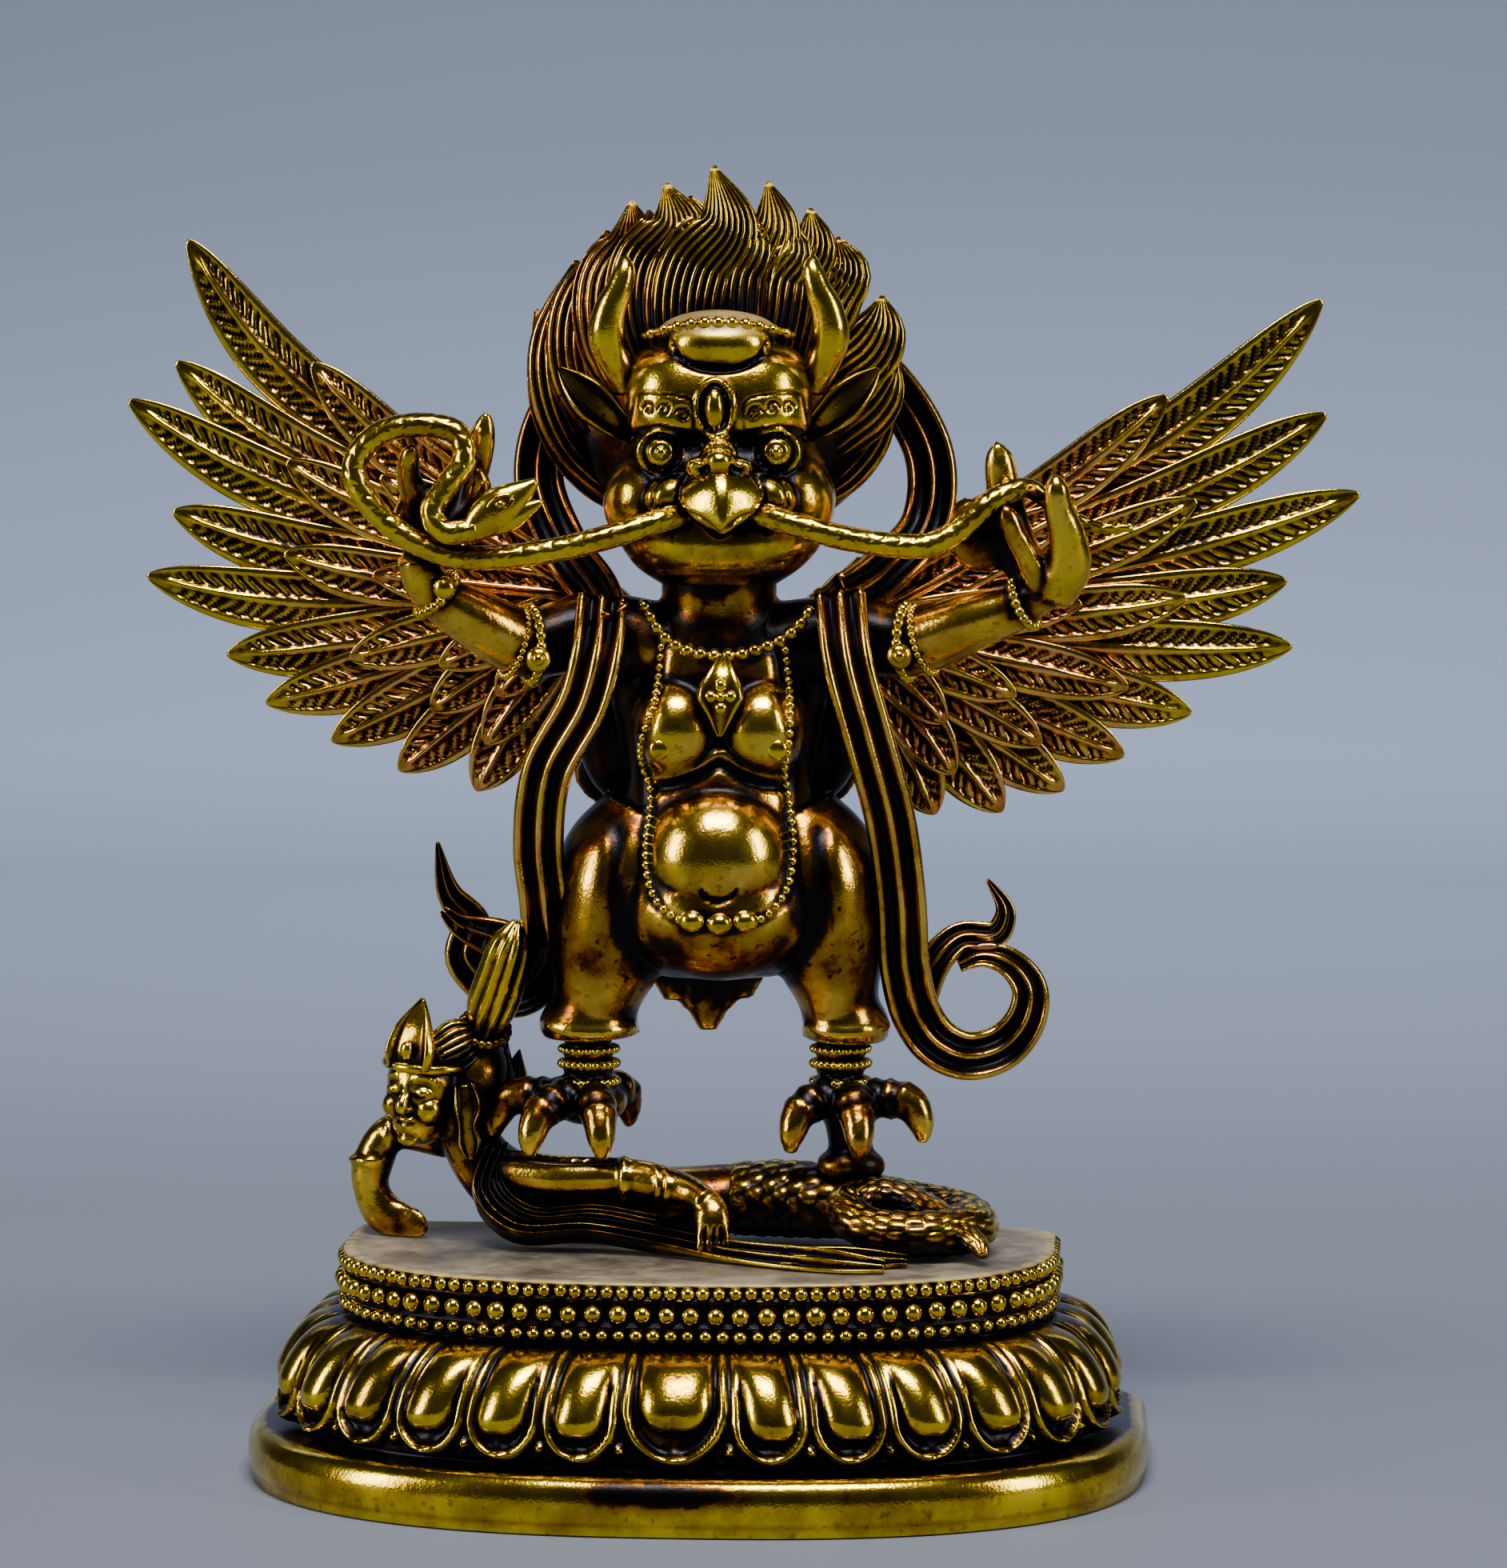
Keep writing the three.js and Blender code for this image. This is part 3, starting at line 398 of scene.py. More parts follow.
def plinth_ring(inset, z, lift=0.0):
    """One ring round the plinth. lift, out from the wall, has a value for each column of one half."""
    share = column_share
    wall = half_plan(np.full_like(share, inset), share) if np.isscalar(inset) else half_plan(inset, share)
    ahead = np.gradient(wall, axis=0)
    ahead[0] = [1, 0]
    outward = unit(np.stack([ahead[:, 1], -ahead[:, 0]], -1))
    right = wall + outward * np.reshape(lift, (-1, 1))
    flat_back = np.linspace(right[-1], right[-1] * [-1, 1], 60)[1:-1]
    ring = np.vstack([right, flat_back, (right * [-1, 1])[:0:-1]])
    return np.column_stack([ring, np.full(len(ring), z)])


# %% Petals as a relief
RIM_WIDTH, RIM_HEIGHT, CHANNEL_DEPTH, BULB_HEIGHT = 1.0, 0.8, 0.6, 1.7
PETAL_RISE = 18.0


def petal_relief(rise):
    """How far the petals stand out from the wall, for every column, at a rise from 0 to PETAL_RISE."""
    wide = (PETAL_RUN - CENTRE_PETAL / 2) / PETALS_PER_SIDE
    number = np.floor((column_run - CENTRE_PETAL / 2) / wide)
    middle = np.where(number < 0, 0, CENTRE_PETAL / 2 + (number + 0.5) * wide)
    half = np.where(number < 0, CENTRE_PETAL, wide) / 2
    lean = np.where(number < 0, 0, 1.0)
    up = rise / PETAL_RISE
    x = column_run - middle
    bottom = half * 0.95
    edge = np.where(rise < bottom, half - np.hypot(x, (bottom - rise) * 1.02), half - np.abs(x))
    rim = RIM_HEIGHT * np.exp(-(((edge - 0.85) / (RIM_WIDTH * 0.5)) ** 2))
    rim *= 1 - smooth_step(up, 0.8, 1.0)
    bulb_half = half * (0.66 + 0.08 * up)
    across = x - lean * (0.16 - 0.42 * up) * half
    foot = bulb_half * 1.05 + half * 0.34
    pointed = (foot - rise) * (1 + 0.25 * np.clip(1 - np.abs(across) / bulb_half, 0, 1))
    in_bulb = np.where(rise < foot, bulb_half - np.hypot(across, pointed), bulb_half - np.abs(across))
    dome = np.sqrt(np.clip(1 - (1 - np.clip(in_bulb / bulb_half, 0, 1)) ** 2, 0, 1))
    bulb = (BULB_HEIGHT + CHANNEL_DEPTH) * dome * (1 - 0.55 * smooth_step(up, 0.7, 1.0))
    inside = smooth_step(edge, 0.9, 1.5)
    gap = -0.9 * smooth_step(-edge, -0.35, 0.4)
    nub = 0.6 * np.exp(-((x / 0.7) ** 2) - ((rise - 1.0) / 0.7) ** 2)
    dots = 1.25 * np.exp(-(((np.abs(x) - half) / 0.55) ** 2) - ((rise - 1.5) / 0.6) ** 2)
    return rim + nub + dots + gap + inside * (bulb - CHANNEL_DEPTH)


# %% The plinth's wall, from the underside to the dusty top
def lotus_plinth():
    rings = [plinth_ring(30, 0.0), plinth_ring(1.2, 0.0), plinth_ring(0.5, 0.25)]
    for turn in np.linspace(0.25, 1, 14):
        angle = np.pi * turn
        rings.append(plinth_ring(3.0 - 3.0 * math.sin(angle) ** 0.6, PLATE_TOP * (1 - math.cos(angle)) / 2))
    rings += [plinth_ring(PETAL_INSET + 2.3, PLATE_TOP + 0.1),
              plinth_ring(PETAL_INSET + 2.5, PETAL_FOOT - 0.2)]
    for rise in np.linspace(0, PETAL_RISE, 58):
        angle = rise / PETAL_RISE * np.pi / 2
        inset = PETAL_INSET + (WAIST_INSET - PETAL_INSET) * (1 - math.cos(angle))
        z = PETAL_FOOT + (PETAL_TOP - PETAL_FOOT) * math.sin(angle)
        rings.append(plinth_ring(inset + 1.0, z, petal_relief(rise)))
    for z, out in BAND_PROFILE:
        rings.append(plinth_ring(WAIST_INSET - out, z))
    for inset, drop in DISC_STEPS:
        rings.append(plinth_ring(inset, PLINTH_TOP - drop))
    return closed_tube(np.array(rings))


# Each row of beads: height, pitch and radius. Their middles stand just off the waist, a little unevenly.
BEAD_ROWS = ((28.3, 2.02, 0.9), (25.5, 3.1, 1.27), (22.8, 2.2, 0.88))
BEAD_STAND, BEAD_WOBBLE = 0.1, 0.05
# The disc sinks a little from its rim inwards: inset from the plate's edge, and drop.
DISC_STEPS = ((13.4, 0.0), (14.2, 0.12), (18, 0.22), (24, 0.26), (30, 0.28), (36, 0.28), (40, 0.28))
BAND_PROFILE = (
    (21.7, -0.6), (21.9, -0.1), (22.2, -0.35), (23.3, -0.35), (23.6, 0.1), (23.9, 0.1), (24.2, -0.4),
    (26.8, -0.4), (27.1, 0.1), (27.35, 0.1), (27.6, -0.35), (28.9, -0.35), (29.15, 0.2), (29.4, 0.1),
)


def bead_rows():
    """Three rows of beads round the waist; the flat back has none."""
    rows = []
    for z, pitch, radius in BEAD_ROWS:
        total = plan_shares(WAIST_INSET, 0)[1]
        count = int(round(total / pitch))
        share = plan_shares(WAIST_INSET, (np.arange(count) + 0.5) * total / count)[0]
        side = half_plan(np.full_like(share, WAIST_INSET - BEAD_STAND), share)
        centres = np.vstack([side, side * [-1, 1]])
        wobble = rng.normal(0, BEAD_WOBBLE, (len(centres), 3))
        rows.append(beads(np.column_stack([centres, np.full(len(centres), z)]) + wobble,
                          radius * (1 + rng.normal(0, BEAD_WOBBLE, len(centres)))))
    return joined(rows)


castings["lotus_petals"] = [lotus_plinth()]
castings["bead_rows"] = [bead_rows()]
print("plinth points:", len(castings["lotus_petals"][0][0]))

# %% [markdown]
# ## Wings
# Each wing is a fan of long feathers with shorter coverts over their roots. A real caster presses them from
# one master and then cuts the barbs with a chisel. A feather here is a closed tube whose ring is almost flat:
# its front has a raised rim, a double shaft down the middle and slanting cuts between, and its back is plain.

# %% One feather
BARB_PITCH, BARB_SLANT = 1.9, 1.2
SHAFT_HALF = 0.75
FEATHER_STEP = 0.4
FEATHER_FRONT = np.linspace(-1, 1, 25)
FEATHER_BACK = np.linspace(0.86, -0.86, 8)


def feather(root, tip, half, depth, bend=0.0, tilt=0.09, side=1, thick=0.8):
    """A feather from root to tip, both x and z. bend is a share of its length, tilt leans one edge out."""
    root, tip = np.array(root, float), np.array(tip, float)
    length = np.linalg.norm(tip - root)
    way = (tip - root) / length
    aside = np.array([-way[1], way[0]])
    s = np.linspace(0, 1, int(length / FEATHER_STEP))[:, None]
    middle = root + way * s * length + aside * bend * length * np.sin(np.pi * s)
    widest = 0.5
    taper = np.where(s < widest, 0.74 + 0.26 * np.sin(np.pi / 2 * s / widest),
                     np.clip(1 - (np.maximum(s - widest, 0) / (1.004 - widest)) ** 2.5, 0, 1) ** 0.72)
    wide = half * taper
    t = FEATHER_FRONT[None]
    x = t * wide
    rim = smooth_step(np.abs(t), 0.62, 0.76)
    shaft_half = SHAFT_HALF * (1 - 0.55 * s)
    shaft = np.exp(-((x / shaft_half) ** 4)) * (1 - smooth_step(s, 0.86, 0.97))
    groove = np.exp(-((x / (shaft_half * 0.3)) ** 2)) * (1 - smooth_step(s, 0.5, 0.75))
    barb = (s * length - np.abs(x) * BARB_SLANT) / BARB_PITCH + 0.13 * np.sin(s * 37 + np.sign(t))
    cut = np.clip(np.cos(2 * np.pi * barb) + 0.1, 0, 1) ** 1.8
    vane = smooth_step(np.abs(x), shaft_half * 1.1, shaft_half * 1.6) * (1 - rim)
    vane = vane * (1 - smooth_step(s, 0.84, 0.96))
    arch = thick * (1 - 0.45 * t**2) * np.clip(taper * 1.25, 0.25, 1)
    height = (arch + 0.36 * rim * taper + 0.58 * shaft - 0.36 * groove * shaft - 0.42 * cut * vane
              - 0.06 * vane)
    lean = side * tilt * x
    front = np.stack([middle[:, :1] + aside[0] * x, depth - height - lean, middle[:, 1:] + aside[1] * x],
                     -1)
    xb = FEATHER_BACK[None] * wide
    back_height = 0.5 * thick * (1 - 0.6 * FEATHER_BACK[None] ** 2) + 0.35 * np.exp(-((xb / 0.9) ** 2))
    back = np.stack([middle[:, :1] + aside[0] * xb, depth + back_height - side * tilt * xb,
                     middle[:, 1:] + aside[1] * xb], -1)
    return closed_tube(np.concatenate([front, back], 1))


# %% The fans
# Angle above level, reach of the root and of the tip from the shoulder point, and bend.
PRIMARIES = {
    -1: ((41.5, 31, 71, 0.1), (29.5, 27, 63, 0.07), (23, 26, 66.4, 0.06), (11.5, 25, 56.6, 0.05),
         (2.7, 22, 59, 0.06), (-9, 19, 49, 0.03), (-18, 16, 45.5, 0.03), (-29, 14.5, 39.5, 0.02),
         (-42, 13.5, 34.5, 0.02), (-59, 13, 30, 0)),
    1: ((34.6, 31, 76, 0.07), (24, 29, 69.2, 0.04), (14.6, 26, 70, 0.03), (6, 25, 58.5, 0.03),
        (-2.5, 23, 59, 0.03), (-14, 20, 47, 0.02), (-25, 17, 40.5, 0.02), (-37, 15, 36, 0.02),
        (-50, 14, 32, 0), (-65, 12, 27.5, 0)),
}
COVERTS = {
    -1: ((40, 24, 48, 0.05), (24, 23, 44, 0.05), (8, 20, 41, 0.05), (-14, 14, 33, 0), (-35, 11, 26, 0),
         (-54, 10, 24, 0)),
    1: ((36, 26, 52, 0.04), (20, 24, 49, 0.04), (5, 21, 45, 0.03), (-12, 17, 38, 0), (-31, 12, 30, 0),
        (-54, 10, 24, 0)),
}
INNER = {
    -1: ((30, 10, 32, 0), (6, 8, 29, 0), (-24, 6, 22, 0), (-46, 5, 18, 0)),
    1: ((28, 10, 34, 0), (6, 8, 31, 0), (-22, 6, 24, 0), (-44, 5, 18, 0)),
}
SHOULDER = {-1: (-17.0, 84.0), 1: (17.0, 80.0)}
WING_DEPTH = 10.0
# Each fan from the back to the front: its feathers, how deep it lies and half the width of a feather.
FANS = ((PRIMARIES, WING_DEPTH + 0.8, 4.25), (COVERTS, WING_DEPTH - 0.7, 3.7), (INNER, WING_DEPTH - 2.0, 3.4))
# The roots run this much further in than the list says, under the shorter feathers.
ROOT_TUCK = 5
SHORT_ROW, SHORT_COUNT, SHORT_STEP = 3.4, 12, 0.6
# The wing's arm behind the feathers: x, z, half width and half depth.
WING_ARM = ((2, 70.5, 2.5, 2), (8, 73, 6, 3.4), (14, 77, 6.8, 3.6), (26, 84, 8.4, 3.1),
            (38, 92, 6.4, 2.0), (46, 97, 2.5, 1), (49, 99.5, 0.5, 0.5))
WING_ARM_DEPTH = WING_DEPTH + 2.0


def short_feathers(run, around, wide):
    """Rows of short round feathers, for the wing's shoulder."""
    row = run / SHORT_ROW
    side = (around / (2 * np.pi) * SHORT_COUNT + 0.5 * (np.floor(row) % 2)) % 1 - 0.5
    return 0.6 * (row % 1) ** 0.7 * np.sqrt(np.clip(1 - (1.8 * side) ** 2, 0, 1)) * np.clip(wide / 6, 0, 1)


def wing(side):
    """All feathers of one wing; side is -1 on the viewer's left."""
    hub = np.array(SHOULDER[side])
    made = []
    for feathers, depth, half in FANS:
        for degrees, near, far, bend in feathers[side]:
            angle = math.radians(degrees)
            way = np.array([side * math.cos(angle), math.sin(angle)])
            root, tip = hub + way * (near - ROOT_TUCK), hub + way * far
            made.append(feather(root, tip, half, depth, -side * bend, side=side))
    arm = [(side * x, WING_ARM_DEPTH, z, w, d) for x, z, w, d in WING_ARM]
    made.append(sweep(arm, round_section(44), SHORT_STEP, relief=short_feathers))
    return joined(made)


castings["wing_left"] = [wing(-1)]
castings["wing_right"] = [wing(1)]
print("triangles in one wing:", len(castings["wing_left"][0][1]))

# %% [markdown]
# ## Flame hair
# The hair stands up behind the face like a fire. It is made of broad locks that overlap, and each lock is
# combed with fine grooves that run together at its tip. One lock is a flat tube again, with the strands as
# waves in its outline, so the grooves close up by themselves as the lock narrows.

# %% One lock
STRAND_PITCH, LOCK_STEP = 1.1, 0.9


def lock(line, half, depth=(0.0, 0.0), thick=1.7, strands=None):
    """A lock along x and z points; half is its half width at its widest, depth is y at root and tip."""
    steps = np.linspace(0, 1, len(line))
    widths = half * np.interp(steps, (0, 0.3, 0.6, 0.85, 1), (0.8, 1.0, 0.96, 0.58, 0.05))
    deeps = thick * np.interp(steps, (0, 0.5, 0.85, 1), (1.0, 1.0, 0.7, 0.2))
    ys = depth[0] + (depth[1] - depth[0]) * steps
    count = strands or max(int(round(2 * half / STRAND_PITCH)), 3)
    front = np.linspace(-1, 1, count * 5 + 1)
    back = np.linspace(0.92, -0.92, count * 3 + 1)
    comb = 0.44 * np.abs(np.cos(np.pi * count * front / 2)) ** 0.9
    front_out = 0.62 * (1 - 0.6 * front**2) + comb * (1 - 0.5 * front**4)
    back_out = -0.5 * (1 - 0.6 * back**2) - 0.2 * np.abs(np.cos(np.pi * count * back / 2))
    section = (np.concatenate([front, back]), np.concatenate([front_out, back_out]))
    points = [(x, y, z, w, d) for (x, z), y, w, d in zip(line, ys, widths, deeps)]
    return sweep(points, section, pitch=LOCK_STEP)


# %% The head of hair
# Each lock: half width, y at the root and at the tip, then x and z from root to tip.
LOCKS = (
    (5.6, 8.0, 6.5, ((-9, 98), (-14.8, 102), (-18.8, 107.5), (-21.4, 114), (-24.0, 121.8))),
    (6.2, 6.5, 5.5, ((-10, 99), (-16.6, 106), (-19.2, 114), (-18.8, 121.5), (-18.7, 128.2))),
    (6.0, 5.2, 4.4, ((-11, 106), (-16, 113), (-16.6, 120), (-15.0, 126), (-14.6, 132))),
    (5.6, 4.0, 3.4, ((-9, 110), (-13.2, 118), (-13.4, 125), (-11.2, 130), (-11.4, 135.8))),
    (5.4, 2.8, 2.6, ((-7, 113), (-9.4, 120.7), (-9.0, 127), (-5.6, 132.5), (-6.9, 138.0))),
    (6.0, 1.4, 2.6, ((-2.5, 113), (-4.0, 120.7), (-2.9, 127), (0.9, 132.5),
                     (-0.7, OBJECT_TOP - PLINTH_TOP - 0.4))),
    (4.6, 2.2, 3.0, ((2, 113), (1.6, 120.7), (2.0, 126), (4.0, 130.5), (3.2, 134.0))),
    (4.6, 3.2, 3.4, ((4, 114), (4.4, 121.7), (5.0, 127), (7.2, 132.5), (6.4, 138.3))),
    (4.8, 4.2, 4.2, ((7, 113), (8.2, 120.7), (9.0, 125.9), (12.0, 130.1), (11.9, 134.9))),
    (4.8, 5.0, 5.0, ((10, 111), (12.0, 118.7), (14.4, 123.9), (16.4, 127.0), (15.4, 131.2))),
    (5.0, 5.6, 5.6, ((11, 107), (15.4, 113.4), (19.2, 116.6), (20.9, 119.7), (21.3, 123.6))),
    (4.6, 6.4, 6.2, ((10, 102), (15.4, 106.4), (19.2, 109.6), (21.4, 112.4), (23.2, 115.6))),
    (5.0, 8.0, 6.8, ((9, 99), (13.6, 101), (17.0, 104.2), (19.8, 108), (22.0, 112.4))),
    (4.6, 3.6, 3.6, ((-9, 112), (-11.5, 119), (-11.0, 125), (-8.6, 130), (-9.2, 134.6))),
    (4.6, 2.0, 3.2, ((-4.5, 113), (-6.4, 121), (-5.6, 127), (-2.6, 132), (-3.8, 136.4))),
    (4.2, 3.0, 3.6, ((5, 113), (6.4, 121), (7.2, 126), (9.6, 129.5), (9.2, 133.0))),
    (4.6, 4.8, 4.9, ((9, 111), (11.0, 118), (12.6, 123.5), (14.4, 126.4), (13.8, 129.4))),
    (4.6, 5.6, 5.2, ((-11, 104), (-16.4, 110), (-18.4, 117), (-17.0, 123), (-17.0, 127.8))),
    (4.2, 6.0, 6.0, ((10, 104), (15.4, 108.8), (18.8, 112.2), (20.8, 115.2), (22.2, 118.8))),
)
BACK_LOCKS = (
    (7, 10.5, 9.0, ((-6, 97), (-11, 101), (-15, 106), (-16.6, 112), (-16, 119))),
    (7, 10.5, 9.0, ((6, 97), (11, 101), (15, 106), (16.6, 111), (16.5, 117))),
    (7, 11.5, 9.0, ((-4, 96), (-8, 103), (-10, 110), (-8, 118), (-9, 126))),
    (7, 11.5, 9.0, ((4, 96), (8, 103), (10, 110), (9, 118), (10, 125))),
    (7.5, 12.0, 8.0, ((0, 95), (0, 102), (1, 110), (-1, 120), (0, 130))),
)


def flame_hair():
    made = [lock(line, half, (near, far)) for half, near, far, line in LOCKS]
    made += [lock(line, half, (near, far), thick=2.6) for half, near, far, line in BACK_LOCKS]
    made.append(lump(-1, 6.2, 107, 17.5, 5.2, 15.5))
    return joined(made)


castings["flame_hair"] = [flame_hair()]
print("hair triangles:", len(castings["flame_hair"][0][1]))

# %% [markdown]
# ## The garuda's head
# The face is a bird's: a keeled beak, round staring eyes under heavy brows, and a third eye upright between
# them. The forms are laid down as overlapping lumps on a skull, as a modeller builds wax on a core, then
# fused on a fine grid. The lids, the curls on the brows and the mouth are drawn into the skin.

# %% Forms of the head
EYES = ((-7.35, 103.1), (7.35, 103.2))
THIRD_EYE = (-0.5, 108.7)
HEAD_VOXEL = 0.31


def mirrored(path, sign):
    """A path of x, y, z and sizes on either side of the middle."""
    return [(sign * x, *rest) for x, *rest in path]


def keeled_section(sides=28):
    """An outline with a soft ridge at the front, for the beak."""
    turn = 2 * np.pi * (np.arange(sides) + 0.5) / sides
    across, out = np.cos(turn), np.sin(turn)
    return across, np.where(out > 0, (1 - np.abs(across) ** 1.35) ** 0.9, out)


def head_forms():
    skull = ((86.0, 0, 0, 7.4, 7), (88.0, 0, -1.0, 10.4, 9.2), (90.5, 0.2, -1.6, 12.6, 10.8),
             (94, 0.2, -1.0, 14.2, 11.2), (97.5, 0.2, -0.4, 15.0, 11.4), (101, 0.1, 0, 14.2, 10.6),
             (105, 0, 0.4, 12.4, 10.2), (109, -0.2, 0.4, 12.0, 10.4), (113, -0.2, 0, 12.0, 10.4),
             (116, 0, 0, 10.0, 9.0), (118.0, 0, 0, 6, 5.6))
    forehead = ((104.8, 0, -1.2, 10.4, 8.8), (105.8, 0, -1.4, 11.6, 10.2), (108.4, 0, -1.4, 12.1, 10.8),
                (112.2, 0, -1.0, 12.1, 10.7), (115.0, 0, -0.4, 11.2, 9.9), (116.8, 0, 0.2, 9.0, 8.0),
                (117.7, 0, 0.6, 5, 4.5))
    beak = ((0.1, -9.5, 100.2, 3.2, 2.6), (0.2, -12.0, 99.4, 5.0, 3.3), (0.4, -14.2, 97.6, 5.4, 3.4),
            (0.5, -15.9, 95.5, 3.9, 2.6), (0.6, -17.1, 93.8, 1.5, 1.3), (0.6, -17.5, 93.0, 0.4, 0.5))
    forms = [
        upright(skull), upright(forehead, 72, 0.5, squareness=1.45),
        lump(0.1, -3.6, 91.0, 11.0, 8.8, 4.6), lump(0.1, -8.4, 94.4, 7.2, 3.8, 2.6),
        sweep(beak, keeled_section(), pitch=0.4),
        lump(0, -5.0, 99.4, 11.6, 6.5, 6.8), lump(0.1, -11.0, 104.2, 1.9, 2.6, 3.0),
        lump(0.1, -12.8, 102.8, 2.4, 3.0, 2.2), lump(0.1, -14.8, 102.0, 2.0, 2.3, 1.7),
        lump(-2.5, -13.4, 101.3, 1.7, 2.2, 1.35), lump(2.7, -13.4, 101.2, 1.7, 2.2, 1.35),
        lump(THIRD_EYE[0], -11.7, THIRD_EYE[1], 1.45, 1.6, 2.8),
        lump(0.1, -8.2, 116.8, 6.6, 4.1, 3.7), lump(-0.1, -2.8, 118.4, 7.8, 6.6, 3.1),
    ]
    for sign in (-1, 1):
        forms += [
            lump(sign * 8.6, -3.4, 96.6, 6.4, 6.6, 6.6),
            lump(0.2 + sign * 6.3, -8.8, 97.6, 3.8, 3.7, 2.9, tilt=sign * 24),
            lump(0.1 + sign * 7.4, -8.2, 103.2, 3.3, 2.6, 2.9),
        ]
    for x, z in EYES:
        forms.append(lump(x, -9.6, z, 2.15, 2.5, 2.1))
    return forms


# %% Drawing on the face
def oval(x, z, wide, high, start=0.0, turns=1.0, count=16):
    """Points of an oval, or of a part of one, in the front view."""
    angle = 2 * np.pi * (start + np.linspace(0, turns, count))
    return np.column_stack([x + wide * np.cos(angle), z + high * np.sin(angle)])


def curl(x, z, size, sign):
    """A small spiral, for the hair of the brows."""
    angle = np.linspace(0.2, 2.6 * np.pi, 14)
    reach = size * (1 - angle / angle[-1] * 0.8)
    return np.column_stack([x + sign * reach * np.cos(angle), z + reach * np.sin(angle)])


MOUTH = ((-8.4, 95.2), (-6.2, 94.9), (-4.0, 95.2), (-1.9, 94.4), (0.2, 92.7), (2.3, 94.4), (4.6, 95.2),
         (6.6, 95.0), (8.6, 95.6))
CROWN_EDGE = ((-6.2, 117.2), (-5.0, 115.2), (-2.8, 113.9), (0.1, 113.5), (3.0, 113.9), (5.2, 115.2),
              (6.4, 117.2))
BROW_CURLS = ((4.6, 107.9), (6.9, 108.6), (9.0, 108.7))
# Lines on one side of the face: its middle, the line, its width, its height and how far back it shows.
FACE_LINES = (
    (0.0, ((3.2, 106.2), (3.4, 109.6), (6.4, 110.5), (10.4, 110.6), (11.4, 108.4)), 0.22, -0.22, -5),
    (0.0, ((2.6, 105.2), (4.4, 105.6), (7.4, 106.4), (10.4, 105.8), (12.2, 104.4)), 0.4, -0.4, -4),
    (0.3, ((4.2, 100.6), (5.2, 98.8), (5.4, 97.0), (4.6, 95.4)), 0.3, -0.55, -8),
    (0.2, ((4.2, 100.8), (6.6, 100.4), (8.4, 98.6), (8.9, 96.4)), 0.3, -0.35, -6),
    (0.2, ((1.7, 101.1), (2.4, 100.8), (3.1, 101.1)), 0.36, -0.5, -10),
)


def face_marks():
    """The mouth, the lids, the third eye, the curls on the brows and the lines of both sides."""
    marks = [(MOUTH, 0.35, -0.6, -6)]
    for x, z in EYES:
        marks += [
            (oval(x, z, 2.45, 2.3), 0.32, -0.6, -5),
            (oval(x, z, 2.85, 2.65), 0.28, 0.32, -5),
            (oval(x, z, 1.0, 1.0), 0.24, -0.4, -8),
        ]
    marks += [(oval(*THIRD_EYE, 1.75, 2.95), 0.25, -0.4, -8), (oval(*THIRD_EYE, 2.35, 3.55), 0.3, 0.45, -8)]
    for sign in (-1, 1):
        for k, (x, z) in enumerate(BROW_CURLS):
            marks.append((curl(sign * x, z + 0.2 * (sign > 0), 1.05 - 0.12 * k, sign), 0.2, -0.38, -6))
        for middle, line, *rest in FACE_LINES:
            marks.append(([(middle + sign * x, z) for x, z in line], *rest))
    return marks + [(CROWN_EDGE, 0.35, -0.6, -5)]


head_skin = engraved(fuse(head_forms(), HEAD_VOXEL, 3), face_marks())
castings["garuda_head"] = [head_skin]
print("head triangles:", len(head_skin[1]))

# %% Horns, ears and the diadem
HORN = ((12.0, -3.0, 111.4, 1.7), (13.3, -4.6, 114.4, 2.2), (14.4, -5.8, 118.0, 2.45),
        (13.9, -6.4, 121.4, 2.1), (12.6, -6.6, 124.4, 1.7), (12.0, -6.4, 126.8, 1.3),
        (12.2, -6.2, 128.2, 0.5))
EAR = ((11.6, -1.6, 105.4, 1.0, 1.0), (13.6, -2.6, 107.2, 2.1, 1.3), (16.2, -3.0, 109.6, 2.7, 1.4),
       (18.7, -2.6, 112.0, 1.8, 1.0), (20.7, -1.8, 114.0, 0.25, 0.3))
DIADEM_HALF = 9.6


def hollow_section(count=34, floor=0.2, rim=0.9):
    """A leaf with a round raised rim: the outline of an ear. floor is the height between the rims."""
    across = np.linspace(-1, 1, count)
    out = rim * np.exp(-(((np.abs(across) - 0.8) / 0.17) ** 2)) + floor * (1 - across**2)
    back = np.linspace(0.9, -0.9, 14)
    return np.concatenate([across, back]), np.concatenate([out, -1.1 * (1 - 0.6 * back**2)])


def on_diadem(x, ahead=0.0):
    """A point on the diadem's rim, an arc over the forehead."""
    share = (x / DIADEM_HALF) ** 2
    return np.array([x, -10.5 + 5.0 * share - ahead, 118.0 + 1.7 * (1 - share)])


def head_dress():
    made = [sweep([(*on_diadem(x), 0.5) for x in np.linspace(-DIADEM_HALF, DIADEM_HALF, 9)], pitch=0.5)]
    spots = np.arange(-8.7, 8.8, 1.74)
    sizes = [np.array([0.84, 0.8, 0.8]) * (0.7 + 0.3 * math.cos(x / DIADEM_HALF * 1.5)) for x in spots]
    made.append(beads([on_diadem(x, 0.6) for x in spots], sizes, FINE_BALL))
    for sign in (-1, 1):
        made.append(sweep(mirrored(HORN, sign), pitch=0.5))
        made.append(sweep(mirrored(EAR, sign), hollow_section(floor=-0.1, rim=1.25), pitch=0.4))
    return joined(made)


castings["horns_and_diadem"] = [head_dress()]

# %% [markdown]
# ## The garuda's body
# A man's torso with a full belly, in wide trousers that end above a bird's legs. Body, arms and feet are one
# casting with the head on the real piece. They share one fused skin here too, on a coarser grid than the
# face, since their forms are broad. The strings of beads are real beads, laid on the skin where it is.

